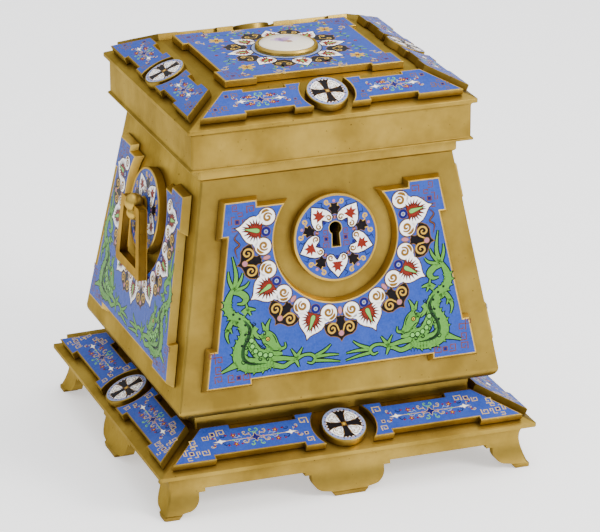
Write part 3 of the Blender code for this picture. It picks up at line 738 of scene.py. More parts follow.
def keyhole_outline():
    """Round head over a foot that widens downwards."""
    centre_up = ROUNDEL_UP + KEYHOLE_UP
    neck = math.asin(KEYHOLE_NECK / 2 / KEYHOLE_R)
    head = arc(0, centre_up, KEYHOLE_R, -math.pi / 2 + neck, math.pi * 1.5 - neck, 40)
    foot_up = centre_up - KEYHOLE_DROP
    return head + [(-KEYHOLE_FOOT / 2, foot_up), (KEYHOLE_FOOT / 2, foot_up)]


def keyhole_cutter():
    steps = [(-BODY_WALL - CUT_PAST, 0.0), (ROUNDEL_T + CUT_PAST, 0.0)]
    bm = slab(body_face("front"), keyhole_outline(), steps)
    return new_object("keyhole_cutter", mesh_from(bm, "keyhole"))


def make_body():
    """Tapering hollow box with a rounded foot and a moulded rim."""
    slant = math.atan(BODY_TAPER)
    centre = BODY_LOW_HALF - BODY_BOTTOM_R * math.cos(slant)
    levels = arc(centre, BODY_LOW_Z, BODY_BOTTOM_R, -math.pi / 2, slant, BODY_BOTTOM_STEPS) + [
        (BODY_TOP_HALF, BODY_TOP_Z),
        (BODY_TOP_HALF + STEP_OUT, BODY_TOP_Z + STEP_RISE),
        (BODY_TOP_HALF + STEP_OUT, RIM_Z),
    ]
    body = new_object("casket_box", mesh_from(tier(levels), "casket box"))

    def inner_half(z):
        return BODY_LOW_HALF - BODY_TAPER * (z - BODY_LOW_Z) - BODY_WALL

    floor_z = BODY_Z + BODY_FLOOR
    bend_z = floor_z + BODY_FLOOR_UPRIGHT
    hollow = [(inner_half(bend_z), floor_z), (inner_half(bend_z), bend_z)]
    hollow.append((inner_half(RIM_Z + CUT_PAST), RIM_Z + CUT_PAST))
    combine(body, [new_object("body_hollow", mesh_from(tier(hollow), "hollow")), keyhole_cutter()])
    return gild(body, "casket_body", width=0.45)


def make_lid():
    """Lid like a low hipped roof."""
    low = LID_HALF + LID_LOW_FILLET
    fillet_z = LID_FILLET_Z - LID_TOP_FILLET_T
    levels = [
        (low, LID_Z),
        (low, LID_Z + LID_LOW_FILLET_T * 0.6),
        (LID_HALF, LID_Z + LID_LOW_FILLET_T),
        (LID_HALF, fillet_z - LID_TOP_FILLET * 0.7),
        (LID_HALF + LID_TOP_FILLET * 0.35, fillet_z - LID_TOP_FILLET * 0.15),
        (LID_TOP_HALF, fillet_z),
        (LID_TOP_HALF, LID_FILLET_Z),
        (LID_FLAT_HALF, LID_FLAT_Z),
    ]
    lid = new_object("casket_lid", mesh_from(tier(levels), "casket lid"))
    inner = LID_HALF - LID_WALL
    roof = LID_WALL * math.hypot(LID_SLOPE_RUN, LID_SLOPE_RISE) / LID_SLOPE_RUN
    inner_z = LID_FILLET_Z + (LID_TOP_HALF - inner) * LID_SLOPE_RISE / LID_SLOPE_RUN - roof
    hollow = tier([(inner, LID_Z - CUT_PAST), (inner, inner_z), (LID_FLAT_HALF, LID_FLAT_Z - roof)])
    combine(lid, [new_object("lid_hollow", mesh_from(hollow, "hollow"))])
    return gild(lid, "lid", width=0.35)


class Spot:
    """A place on a side where a small design is put, turned and scaled."""

    def __init__(self, x, y, turn=0.0, scale=1.0, flip=1):
        self.x, self.y, self.scale, self.flip = x, y, scale, flip
        self.turn = turn

    def put(self, points):
        cos, sin = math.cos(self.turn), math.sin(self.turn)
        placed = []
        for x, y in points:
            x, y = x * self.scale * self.flip, y * self.scale
            placed.append((self.x + x * cos - y * sin, self.y + x * sin + y * cos))
        return placed

    def at(self, x, y, turn=0.0, scale=1.0):
        """A smaller spot inside this one."""
        (px, py), = self.put([(x, y)])
        return Spot(px, py, self.turn + turn * self.flip, self.scale * scale, self.flip)


def around(centre, radius, degrees):
    """Spot at an angle round a centre, whose Y axis points away from it."""
    angle = math.radians(degrees)
    x = centre[0] + radius * math.cos(angle)
    y = centre[1] + radius * math.sin(angle)
    return Spot(x, y, angle - math.pi / 2)


def smooth_path(points, steps=6):
    """Even curve through a few points."""
    path = []
    padded = [points[0]] + list(points) + [points[-1]]
    for a, b, c, d in zip(padded, padded[1:], padded[2:], padded[3:]):
        for i in range(steps):
            t = i / steps
            spot = []
            for axis in (0, 1):
                spot.append(0.5 * (2 * b[axis] + (c[axis] - a[axis]) * t
                                   + (2 * a[axis] - 5 * b[axis] + 4 * c[axis] - d[axis]) * t * t
                                   + (3 * b[axis] - a[axis] - 3 * c[axis] + d[axis]) * t ** 3))
            path.append(tuple(spot))
    path.append(tuple(points[-1]))
    return path


def spiral(x, y, outer, inner, start, turns, steps=26):
    """Spiral line from an outer radius in to an inner one, angles in radians."""
    points = []
    for i in range(steps + 1):
        share = i / steps
        radius = outer + (inner - outer) * share
        angle = start + turns * math.tau * share
        points.append((x + radius * math.cos(angle), y + radius * math.sin(angle)))
    return points


def mirrored(points):
    """A half outline and its mirror image, closed on the Y axis."""
    return list(points) + [(-x, y) for x, y in reversed(points) if abs(x) > 1e-6]


class Inlay:
    """Flat enamel shapes on one side, gathered into one mesh."""

    def __init__(self, name, face, height):
        self.name = name
        self.face = face
        self.height = height
        self.verts = []
        self.faces = []
        self.looks = []
        self.used = []

    def look(self, colour):
        if colour not in self.used:
            self.used.append(colour)
        return self.used.index(colour)

    def rows(self, outline, level):
        """Add an outline's upper and lower rows of points."""
        top = self.height + GROUND_RISE + LEVEL_RISE * level
        low = self.height - SEAT
        first = len(self.verts)
        for x, y in outline:
            self.verts.append(self.face.point(x, y, top) * MM)
        for x, y in outline:
            self.verts.append(self.face.point(x, y, low) * MM)
        return first

    def patch(self, outline, colour, level=1):
        """Filled outline."""
        area = sum(a[0] * b[1] - b[0] * a[1] for a, b in zip(outline, outline[1:] + outline[:1]))
        if area < 0:
            outline = list(reversed(outline))
        count = len(outline)
        first = self.rows(outline, level)
        look = self.look(colour)
        self.faces.append(list(range(first, first + count)))
        self.looks.append(look)
        for i in range(count):
            j = (i + 1) % count
            self.faces.append([first + i, first + count + i, first + count + j, first + j])
            self.looks.append(look)

    def line(self, points, width, colour, level=1, closed=False, ends=1.0):
        """Ribbon along a path; ends is the width at both tips, as a share."""
        count = len(points)
        halves = []
        for i in range(count):
            share = 1.0 if closed else min(1.0, ends + (1 - ends) * 4 * min(i, count - 1 - i) / count)
            halves.append(width / 2 * share)
        self.ribbon(points, halves, colour, level, closed)

    def limb(self, points, widths, colour, level, steps=5):
        """Smooth stroke whose width changes along it."""
        wide = smooth_path([(w, 0.0) for w in widths], steps)
        self.ribbon(smooth_path(points, steps), [max(w, 0.05) / 2 for w, _ in wide], colour, level)

    def ribbon(self, path, halves, colour, level, closed=False):
        """Strip along a path, with half its width at each point."""
        count = len(path)
        left, right = [], []
        for i, ((x, y), half) in enumerate(zip(path, halves)):
            if closed:
                before, after = path[i - 1], path[(i + 1) % count]
            else:
                before, after = path[max(i - 1, 0)], path[min(i + 1, count - 1)]
            way = Vector((after[0] - before[0], after[1] - before[1]))
            if way.length < 1e-9:
                way = Vector((1, 0))
            way.normalize()
            left.append((x - way.y * half, y + way.x * half))
            right.append((x + way.y * half, y - way.x * half))
        look = self.look(colour)
        a = self.rows(left, level)
        b = self.rows(right, level)
        last = count if closed else count - 1
        for i in range(last):
            j = (i + 1) % count
            self.faces.append([b + i, b + j, a + j, a + i])
            self.faces.append([a + i, a + j, a + count + j, a + count + i])
            self.faces.append([b + j, b + i, b + count + i, b + count + j])
            self.looks += [look] * 3
        if not closed:
            for i, flip in ((0, False), (count - 1, True)):
                end = [a + i, a + count + i, b + count + i, b + i]
                self.faces.append(list(reversed(end)) if flip else end)
                self.looks.append(look)

    def build(self, body="root"):
        mesh = bpy.data.meshes.new(self.name)
        mesh.from_pydata([tuple(v) for v in self.verts], [], self.faces)
        for colour in self.used:
            mesh.materials.append(COLOURS[colour])
        mesh.polygons.foreach_set("material_index", self.looks)
        mesh.update()
        return finish_object(new_object(self.name, mesh), body)


def flame(x, y, tall, wide, teeth=15, depth=0.36):
    """Toothed leaf that fans out from (x, y), with its longest tooth straight up."""
    outline = []
    for i in range(teeth * 2 + 1):
        angle = -30 + 240 * i / (teeth * 2)
        aside = abs(angle - 90) / 120
        reach = tall + (wide - tall) * aside ** 0.55
        if i % 2:
            reach *= 1.0 - depth
        lean = math.radians(angle)
        outline.append((x + reach * math.cos(lean), y + reach * math.sin(lean)))
    return outline


def draw_edged(inlay, spot, shape, width, edge, colour, level):
    """Filled shape with an edge of another colour round it."""
    inlay.patch(spot.put(outward(shape, width)), edge, level)
    inlay.patch(spot.put(shape), colour, level + 1)


def draw_discs(inlay, spot, rows):
    """Discs one over another, as (radius, steps, colour, level) rows."""
    for radius, steps, colour, level in rows:
        inlay.patch(spot.put(circle(0, 0, radius, steps)), colour, level)


def draw_curls(inlay, spot, curl, start, turns, width, colour, level, lead=(), ends=0.6):
    """Pair of curls, left and right. A curl is (x, y, outer, inner, steps), start is in degrees
    with its lean to either side, and lead is the way in."""
    x, y, outer, inner, steps = curl
    degrees, lean = start
    for sign in (-1, 1):
        hook = spiral(sign * x, y, outer, inner, math.radians(degrees + sign * lean), sign * turns, steps)
        path = [(sign * a, b) for a, b in lead] + hook
        inlay.line(spot.put(path), width * spot.scale, colour, level, ends=ends)


def draw_palmette(inlay, spot, level=1):
    """White heart palmette: flame leaf, green bud and two scrolled lobes."""
    body = mirrored([(0.0, 3.3), (2.8, 3.5), (4.8, 2.6), (6.9, 4.2), (8.3, 6.6), (8.5, 9.0),
                     (7.5, 11.6), (5.4, 13.9), (2.9, 15.8), (1.2, 17.4), (0.0, 19.6)])
    lobe_x, lobe_y, lobe_r = 9.3, 0.6, 5.3
    bridge = [(4.2, 3.4), (7.4, 4.2), (11.0, 5.2), (8.2, 7.8), (4.6, 6.4)]
    for grow, colour, over in ((0.7, "dark wire", level), (0.35, "wire", level + 1)):
        for sign in (-1, 1):
            inlay.patch(spot.put(circle(sign * lobe_x, lobe_y, lobe_r + grow, 32)), colour, over)
        inlay.patch(spot.put(outward(body, grow)), colour, over)
    for sign in (-1, 1):
        inlay.patch(spot.put(circle(sign * lobe_x, lobe_y, lobe_r - 0.1, 32)), "white", level + 2)
        inlay.patch(spot.put([(sign * x, y) for x, y in bridge]), "white", level + 2)
    inlay.patch(spot.put(body), "white", level + 3)
    inlay.patch(spot.put(flame(0, 6.2, 11.0, 6.6, 13, 0.42)), "dark green", level + 4)
    inlay.patch(spot.put(flame(0, 6.2, 10.2, 5.9, 13, 0.56)), "brick", level + 5)
    bud = mirrored([(0.0, 4.2), (1.0, 4.6), (1.4, 6.0), (1.1, 8.2), (0.65, 10.8), (0.0, 14.2)])
    draw_edged(inlay, spot, bud, 0.3, "dark green", "pale green", level + 6)
    for sign in (-1, 1):
        place = spot.at(sign * lobe_x, lobe_y)
        turns = spiral(-sign * 0.5, -0.5, 3.0, 0.5, math.radians(90 - sign * 150), sign * 1.35)
        inlay.line(place.put(turns), 1.6 * spot.scale, "scroll", level + 4, ends=0.5)
        comma = arc(0, 0, 3.9, math.radians(90 - sign * 108), math.radians(90 - sign * 14), 12)
        inlay.line(place.put(comma), 1.8 * spot.scale, "scroll", level + 4, ends=0.1)
    draw_discs(inlay, spot, [(3.25, 28, "wire", level + 4), (2.95, 28, "navy", level + 5),
                             (1.35, 16, "grey", level + 6), (0.65, 12, "wire", level + 7)])


def draw_cartouche(inlay, spot, level=1):
    """Black crescent with a small bell above it and a pair of yellow scrolls."""
    outline = mirrored([(0.0, -7.5), (1.1, -6.9), (2.7, -7.3), (2.2, -4.8), (3.0, -3.0), (5.0, -3.4),
                        (8.0, -3.4), (10.5, -2.6), (10.7, -0.6), (9.6, 2.6), (7.2, 4.7), (4.4, 5.1),
                        (2.4, 5.7), (1.0, 6.7), (0.0, 8.4)])
    draw_edged(inlay, spot, outline, 0.5, "wire", "black", level)
    for sign in (-1, 1):
        curl = [(1.0, 3.4), (1.9, 0.4), (3.0, -2.0), (5.4, -3.0), (7.9, -1.5), (8.2, 1.2), (6.4, 2.9),
                (4.4, 2.0), (4.3, 0.1), (5.6, -0.6), (6.3, 0.5)]
        path = spot.put(smooth_path([(x * sign, y) for x, y in curl]))
        inlay.line(path, 1.45 * spot.scale, "scroll", level + 2, ends=0.6)
        inlay.line(path, 0.85 * spot.scale, "yellow", level + 3, ends=0.6)
    inlay.patch(spot.put(circle(0, 3.6, 2.0, 20)), "wire", level + 3)
    inlay.patch(spot.put(circle(0, 3.6, 1.65, 20)), "pink", level + 4)
    bead = [(x * 0.62, y * 1.2 - 10.9) for x, y in circle(0, 0, 1.9, 20)]
    draw_edged(inlay, spot, bead, 0.35, "wire", "pink", level)


def draw_hook(inlay, spot, colour="fret", width=1.15, level=1):
    """Small square hook of a fret."""
    path = [(-2.8, -2.6), (-2.8, 2.6), (2.6, 2.6), (2.6, -1.4), (-0.6, -1.4), (-0.6, 0.6)]
    inlay.line(spot.put(path), width * spot.scale, colour, level)


def draw_hooks(inlay, spot, rows, colour="fret"):
    """Hooks near a mark, as (x, y, degrees, scale) rows."""
    for x, y, degrees, scale in rows:
        draw_hook(inlay, spot.at(x, y, math.radians(degrees), scale), colour)


def draw_stud(inlay, spot, level=1, colour="fret"):
    """Navy square in a frame."""
    for half, look, over in ((2.0, colour, level), (1.2, "navy", level + 1)):
        inlay.patch(spot.put([(-half, -half), (half, -half), (half, half), (-half, half)]), look, over)


KEY_PATHS = [
    [(-1.6, 4.2), (-4.4, 4.2), (-4.4, -1.4), (-6.6, -1.4), (-6.6, 1.6)],
    [(1.6, -4.2), (4.4, -4.2), (4.4, 1.4), (6.6, 1.4), (6.6, -1.6)],
    [(1.0, 4.2), (4.4, 4.2), (4.4, 6.8), (1.0, 6.8), (1.0, 5.6)],
    [(-1.0, -4.2), (-4.4, -4.2), (-4.4, -6.8), (-1.0, -6.8)],
]


def draw_key(inlay, spot, colour="fret", level=1):
    """Square fret round a stud, open at two corners, with a hook at each end."""
    draw_stud(inlay, spot, level, colour)
    for path in KEY_PATHS:
        inlay.line(spot.put(path), spot.scale, colour, level)


def draw_tendril(inlay, spot, colour, width=0.6, level=1):
    """Small vine: a wavy stem that ends in a curl, with leaves along it."""
    stem = smooth_path([(0, 0), (1.8, 1.5), (4.2, 0.7), (6.4, -0.6), (8.6, 0.8), (8.8, 2.9), (7.0, 3.2),
                        (6.7, 1.8)])
    inlay.line(spot.put(stem), width * spot.scale, colour, level, ends=0.5)
    for x, y, side in ((1.8, 1.5, 1), (4.2, 0.7, -1), (6.2, -0.5, 1)):
        leaf = [(x, y), (x + 0.6, y + side * 1.6), (x + 2.0, y + side * 2.0), (x + 1.5, y + side * 0.7)]
        inlay.patch(spot.put(leaf), colour, level)


def draw_blossom(inlay, spot, level=1):
    """Small brick flower with pointed petals."""
    points = []
    for i in range(10):
        reach = 2.2 if i % 2 == 0 else 0.9
        angle = math.tau * i / 10
        points.append((reach * math.cos(angle), reach * math.sin(angle)))
    inlay.patch(spot.put(points), "brick", level)
    inlay.patch(spot.put(circle(0, 0, 0.55, 8)), "yellow", level + 1)


def draw_spark(inlay, spot, level=1):
    """Small white star with four hollow-sided points."""
    shape = [(-3.9, 0), (-1.0, -0.6), (0, -1.9), (1.0, -0.6), (3.9, 0), (1.0, 0.6), (0, 1.9), (-1.0, 0.6)]
    draw_edged(inlay, spot, shape, 0.3, "pale gold", "white", level)


# The left dragon, as chosen points on the front field. The right one is its mirror image.
DRAGON_BACK = [(-67.7, 76.0), (-71.5, 69.3), (-72.9, 63.3), (-70.3, 58.4), (-65.0, 54.3), (-61.3, 48.1),
               (-63.1, 42.1), (-66.2, 36.4), (-66.6, 30.3), (-62.1, 26.3), (-52.8, 25.2), (-45.8, 26.7)]
DRAGON_BACK_W = [1.2, 3.4, 4.2, 4.8, 6.2, 7.0, 7.4, 8.2, 8.6, 8.4, 7.6, 4.4]
DRAGON_STROKES = [
    ([(-68.4, 74.2), (-70.7, 80.6), (-70.8, 86.2)], [2.0, 1.6, 0.3]),
    ([(-67.9, 74.2), (-66.0, 83.0), (-67.7, 95.0)], [2.2, 2.0, 0.3]),
    ([(-67.6, 74.1), (-63.3, 79.6), (-61.5, 84.2)], [2.0, 1.5, 0.3]),
    ([(-66.9, 73.6), (-60.4, 75.5), (-57.7, 78.5)], [2.0, 1.3, 0.3]),
    ([(-68.5, 72.3), (-63.9, 71.6), (-60.6, 68.2), (-62.7, 65.1), (-66.7, 65.2)], [1.6, 3.4, 3.6, 2.0, 0.6]),
    ([(-69.2, 27.6), (-74.9, 25.3), (-79.4, 23.6)], [4.2, 1.9, 1.0]),
    ([(-66.7, 52.6), (-70.5, 54.2), (-73.2, 50.4), (-75.2, 48.6)], [3.0, 2.4, 2.6, 1.0]),
    ([(-73.2, 50.4), (-74.6, 46.0), (-73.3, 41.0)], [2.4, 1.6, 0.3]),
    ([(-72.4, 50.8), (-71.0, 47.0)], [1.6, 0.4]),
    ([(-63.1, 58.6), (-59.8, 60.9), (-54.7, 60.2)], [3.4, 2.4, 0.5]),
    ([(-60.2, 61.4), (-58.0, 56.9)], [2.2, 0.5]),
    ([(-60.0, 60.2), (-60.8, 65.0)], [2.0, 0.5]),
    ([(-31.0, 25.6), (-28.4, 29.1), (-25.9, 32.7)], [2.4, 1.6, 0.3]),
    ([(-31.0, 25.6), (-28.9, 20.4)], [2.4, 0.5]),
    ([(-30.0, 26.8), (-33.6, 32.8)], [2.0, 0.3]),
    ([(-30.2, 25.9), (-25.4, 27.6), (-20.7, 27.3), (-18.2, 24.7), (-20.3, 21.9), (-23.7, 22.8)],
     [2.0, 1.4, 1.6, 1.7, 1.2, 0.5]),
    ([(-17.7, 26.1), (-11.2, 29.0), (-7.1, 32.2)], [1.6, 1.3, 0.3]),
    ([(-17.7, 25.4), (-9.1, 25.6), (-2.3, 24.9)], [1.6, 1.3, 0.3]),
    ([(-17.9, 23.1), (-10.1, 22.1), (-1.6, 20.4)], [1.6, 1.3, 0.3]),
    ([(-47.2, 28.2), (-39.1, 27.4), (-34.0, 26.4), (-30.0, 25.8)], [3.4, 2.4, 2.0, 2.0]),
    ([(-46.8, 24.6), (-39.4, 22.2), (-34.8, 24.0), (-31.4, 25.0)], [3.0, 2.4, 2.0, 1.4]),
    ([(-49.2, 42.6), (-53.9, 42.8), (-56.7, 46.3), (-55.1, 49.1)], [2.6, 2.2, 2.4, 2.8]),
    ([(-48.6, 45.6), (-47.9, 49.3), (-45.7, 53.5)], [2.4, 1.7, 0.3]),
    ([(-49.6, 46.8), (-51.4, 51.9)], [2.0, 0.3]),
    ([(-41.8, 33.6), (-37.3, 34.2), (-37.2, 37.6)], [1.6, 1.2, 0.3]),
    ([(-59.6, 43.2), (-58.2, 37.7), (-54.6, 32.4), (-47.6, 30.6)], [3.6, 5.4, 6.0, 5.0]),
    ([(-50.4, 45.2), (-47.4, 40.6), (-44.0, 35.6), (-40.2, 32.8)], [4.8, 8.0, 6.0, 2.6]),
    ([(-49.3, 35.7), (-43.8, 31.2), (-39.2, 30.6)], [3.4, 2.6, 1.4]),
]
DRAGON_SPOTS = [(-69.4, 58.9), (-65.6, 55.7), (-62.1, 51.3), (-62.6, 45.3), (-65.2, 38.6)]
DRAGON_BEARD = [(-58.8, 41.2), (-58.4, 37.4), (-56.6, 34.2), (-53.8, 32.0), (-50.4, 30.8), (-47.0, 30.6)]
DRAGON_CREASES = [
    [(-52.6, 36.6), (-50.2, 38.0), (-47.6, 36.2)],
    [(-46.0, 33.0), (-43.0, 32.8), (-40.4, 32.0)],
    [(-54.6, 43.6), (-52.4, 41.0), (-52.0, 38.4)],
    [(-55.0, 39.0), (-52.0, 36.2), (-49.0, 34.4)],
    [(-63.6, 33.2), (-60.6, 31.0), (-57.2, 30.0)],
    [(-65.6, 29.0), (-61.8, 27.4), (-57.6, 27.2)],
    [(-45.2, 43.6), (-43.4, 40.6), (-42.6, 37.4)],
    [(-58.6, 50.6), (-60.4, 47.6), (-60.6, 44.8)],
]
DRAGON_CURLS = [(-62.4, 37.4, 1.9, 90, 1.1), (-61.4, 42.0, 1.8, 120, 1.1), (-60.6, 46.4, 1.6, 140, 1.1),
                (-58.2, 33.2, 1.9, 60, 1.1), (-53.6, 28.8, 1.8, 40, 1.1), (-49.0, 28.0, 1.6, 20, 1.1),
                (-50.4, 44.6, 1.9, 200, -1.2), (-56.2, 51.2, 1.3, 90, 1.2), (-64.6, 28.2, 1.8, 100, 1.1)]
DRAGON_BULK = 1.08
DRAGON_EDGE = 1.5
WREATH_R = 46.0
BELL_OUT = 11.0               # the wreath's bells stand this much farther out than its hearts
# Degrees between places, scale, and the places of hearts and bells on a wide and a narrow wall.
WREATH_WIDE = (20.3, 1.0, (1, 3, 5), (0, 2, 4))
WREATH_NARROW = (16.9, 0.86, (0, 2, 4, 6), (1, 3, 5))
CLOUD_PATH = [(-62.5, 109.2), (-65.5, 105.7), (-62.6, 101.6), (-65.6, 98.9), (-64.3, 93.2)]


def draw_dragon(inlay, hand, squeeze, level=1):
    """Green dragon in a lower corner of a field; squeeze fits it to a narrower wall."""
    def fit(points):
        return [(x * squeeze * -hand, y) for x, y in points]

    strokes = [(DRAGON_BACK, DRAGON_BACK_W)] + DRAGON_STROKES
    for points, widths in strokes:
        inlay.limb(fit(points), [w * DRAGON_BULK + DRAGON_EDGE for w in widths], "dark green", level)
    for points, widths in strokes:
        inlay.limb(fit(points), [w * DRAGON_BULK for w in widths], "green", level + 1)
    path = smooth_path(DRAGON_BACK, 4)
    wide = smooth_path([(w, 0.0) for w in DRAGON_BACK_W], 4)
    for i in range(6, len(path) - 3, 2):
        x, y = path[i]
        ahead = path[i + 1]
        way = Vector((ahead[0] - x, ahead[1] - y)).normalized()
        for hand_out, reach in ((-1, 2.8), (1, 1.7)):
            out = Vector((-way.y, way.x)) * hand_out
            root = Vector((x, y)) + out * wide[i][0] * 0.46 * DRAGON_BULK
            for grow, colour, over in ((1.0, "dark green", 0), (0.62, "green", 1)):
                tip = root + out * reach * grow - way * 0.9
                tooth = [tuple(root - way * 1.7 * grow), tuple(tip), tuple(root + way * 1.7 * grow)]
                inlay.patch(fit(tooth), colour, level + over)
    for x, y, radius, start, turns in DRAGON_CURLS:
        curl = spiral(x, y, radius, 0.3, math.radians(start), turns, 16)
        inlay.line(fit(curl), 0.7, "dark green", level + 3, ends=0.4)
    for shift, wide in ((1.7, 2.0), (2.6, 1.2)):
        belly = [(x + shift, y + 0.4) for x, y in DRAGON_BACK[4:11]]
        inlay.limb(fit(belly), [0.3] + [wide] * 5 + [0.3], "shade green", level + 2)
    for x, y in DRAGON_SPOTS:
        inlay.patch(fit(circle(x, y, 0.85, 12)), "dark green", level + 4)
    for x, y in DRAGON_BEARD:
        inlay.patch(fit(circle(x, y, 1.9, 14)), "dark green", level + 3)
        inlay.patch(fit(circle(x, y, 1.35, 14)), "pale green", level + 4)
    for i in range(9):
        x = -63.0 + i * 2.1
        inlay.patch(fit([(x - 0.2, 23.4), (x + 0.7, 19.6), (x + 1.6, 23.4)]), "dark green", level)
        inlay.patch(fit([(x + 0.2, 23.6), (x + 0.7, 21.0), (x + 1.2, 23.6)]), "green", level + 1)
        inlay.line(fit([(x + 0.4, 24.0), (x + 1.0, 26.6)]), 0.5, "dark green", level + 3, ends=0.3)
    inlay.patch(fit(circle(-48.2, 40.8, 1.6, 16)), "dark green", level + 3)
    inlay.patch(fit(circle(-48.2, 40.8, 1.05, 16)), "yellow", level + 4)
    inlay.patch(fit(circle(-48.1, 40.7, 0.5, 10)), "black", level + 5)
    for crease in DRAGON_CREASES:
        inlay.line(fit(smooth_path(crease)), 0.6, "dark green", level + 3, ends=0.3)
    cloud = smooth_path(CLOUD_PATH)
    inlay.line(fit(cloud), 1.5, "dark green", level, ends=0.2)
    inlay.line(fit(cloud), 0.8, "fret", level + 1, ends=0.2)


def make_field_block(side):
    """Raised gilt block that carries a wall's enamel picture."""
    face = body_face(side)
    steps = [(GAP, FIELD_BORDER + FIELD_SPREAD), (FIELD_T, FIELD_BORDER)]
    bm = slab(face, field_outline(face), steps)
    return gilt_block("field_block_" + side, bm, "field_panel_" + side, GILT_PAINTED_HIGHLIGHT, 0.3)


FIELD_CORNER_HOOKS = [(11.0, 8.6, 0, 1.0), (-1.0, 10.6, 90, 0.8), (5.0, -9.6, 180, 0.8)]
FIELD_FOOT_HOOKS = [(-6.0, 0.2, 90, 1.0), (6.2, 0.4, 180, 1.0), (-16.4, 0.4, 0, 1.0),
                    (-15.6, 8.0, 90, 1.0), (-15.2, 15.6, 0, 1.0), (-20.4, 20.0, 180, 0.8)]


def make_field_work(side):
    """Enamel picture on a wall's raised field."""
    face = body_face(side)
    inlay = Inlay("field_enamel_" + side, face, FIELD_T)
    inlay.patch(field_outline(face), "blue", 0)
    squeeze = (face.half - FIELD_MARGIN) / (BODY_LOW_HALF - FIELD_MARGIN)
    centre = (0.0, ROUNDEL_UP)
    step, scale, hearts, bells = WREATH_WIDE if side in ("front", "back") else WREATH_NARROW
    for places, draw, out in ((bells, draw_cartouche, BELL_OUT), (hearts, draw_palmette, 0.0)):
        for i in places:
            for degrees in sorted({-90 + i * step, -90 - i * step}):
                spot = around(centre, WREATH_R + out * scale, degrees)
                spot.scale = scale
                draw(inlay, spot, 4 if draw is draw_palmette else 2)
    low = face.half - face.taper * FIELD_FOOT - FIELD_EAR_MARGIN
    top = face.length - FIELD_TOP_MARGIN
    high = face.half - face.taper * top - FIELD_EAR_MARGIN
    for hand in (-1, 1):
        draw_dragon(inlay, hand, squeeze, 1)
        corner = Spot(hand * (high - 6.6), top - 11.6, 0.0, 0.82, -hand)
        draw_key(inlay, corner)
        draw_hooks(inlay, corner, FIELD_CORNER_HOOKS)
        foot = Spot(hand * (low - 20.0), FIELD_FOOT + 4.6, 0.0, 0.8, -hand)
        draw_stud(inlay, foot)
        draw_hooks(inlay, foot, FIELD_FOOT_HOOKS)
    return inlay.build()


ROUNDEL_HEART_R = 13.4        # radii of the rings of designs on a roundel
ROUNDEL_BELL_R = 18.2
ROUNDEL_WAVE_R = 22.6
ROUNDEL_DART_R = 9.0


def make_roundel(side):
    """Thick gilt disc on a wall, cut by the keyhole at the front."""
    face = body_face(side)
    level = ROUNDEL_T - ROUNDEL_SUNK
    profile = [
        (0, GAP),
        (ROUNDEL_R, GAP),
        (ROUNDEL_R, ROUNDEL_T - ROUNDEL_BEVEL),
        (ROUNDEL_R - ROUNDEL_BEVEL, ROUNDEL_T),
        (ROUNDEL_ENAMEL_R, ROUNDEL_T),
        (ROUNDEL_ENAMEL_R, level),
        (0, level),
    ]
    disc = turned(profile, 128, face.matrix(0, ROUNDEL_UP))
    made = new_object("gilt_roundel_" + side, mesh_from(disc, "roundel"))
    if side == "front":
        combine(made, [keyhole_cutter()])
    gild(made, "roundel_" + side, GILT_PAINTED_HIGHLIGHT, 0.15, 30.0)

    inlay = Inlay("roundel_enamel_" + side, face, level)
    outer = circle(0, ROUNDEL_UP, ROUNDEL_ENAMEL_R - 0.15, 120)
    if side == "front":
        hole = outward(keyhole_outline(), 0.5)
        bridge_at = max(range(len(hole)), key=lambda i: hole[i][1])
        hole = hole[bridge_at:] + hole[:bridge_at]
        start = max(range(len(outer)), key=lambda i: outer[i][1])
        outer = outer[start:] + outer[:start]
        ring = outer + [outer[0]] + [hole[0]] + list(reversed(hole[1:])) + [hole[0]]
        inlay.patch(ring, "blue", 0)
    else:
        inlay.patch(outer, "blue", 0)
    centre = (0.0, ROUNDEL_UP)
    for i in range(5):
        draw_small_heart(inlay, around(centre, ROUNDEL_HEART_R, -90 + 72 * i), 3)
        draw_small_bell(inlay, around(centre, ROUNDEL_BELL_R, -54 + 72 * i), 1)
        for sign in (-1, 1):
            wave = around(centre, ROUNDEL_WAVE_R, -90 + 72 * i + sign * 14)
            bends = [(-1.0, -2.4), (0.2, -0.6), (-1.0, 0.8), (1.8, 2.4)]
            path = smooth_path([(sign * x, y) for x, y in bends])
            inlay.line(wave.put(path), 0.6, "shade blue", 1, ends=0.3)
    if side == "front":
        for sign in (-1, 1):
            spot = Spot(sign * 6.4, ROUNDEL_UP - 0.4, 0.0, 0.72, sign)
            draw_stud(inlay, spot, 1)
            draw_hooks(inlay, spot, [(0.6, 5.4, 90, 0.9), (0.4, -5.6, 0, 0.9)])
    else:
        for i in range(10):
            spot = around(centre, ROUNDEL_DART_R, 36 * i)
            inlay.patch(spot.put([(-0.9, -0.8), (0.9, -0.8), (0, 1.2)]), "navy", 1)
    return inlay.build()


def pin_place(face):
    """Middle of a handle's pin."""
    spot = face.point(0, ROUNDEL_UP, ROUNDEL_T) + Vector((0, 0, POST_RISE))
    level_out = Vector((face.out.x, face.out.y, 0)).normalized()
    return spot + level_out * (POST_OUT - POST_RISE * BODY_TAPER)


def rod(name, start, end, radius, steps=40):
    """Plain round rod between two points."""
    way = end - start
    turn = way.to_track_quat("Z", "Y").to_matrix().to_4x4()
    profile = [(0, 0.0), (radius, 0.0), (radius, way.length), (0, way.length)]
    place = Matrix.Translation(start) @ turn
    return new_object(name, mesh_from(turned(profile, steps, place), name))


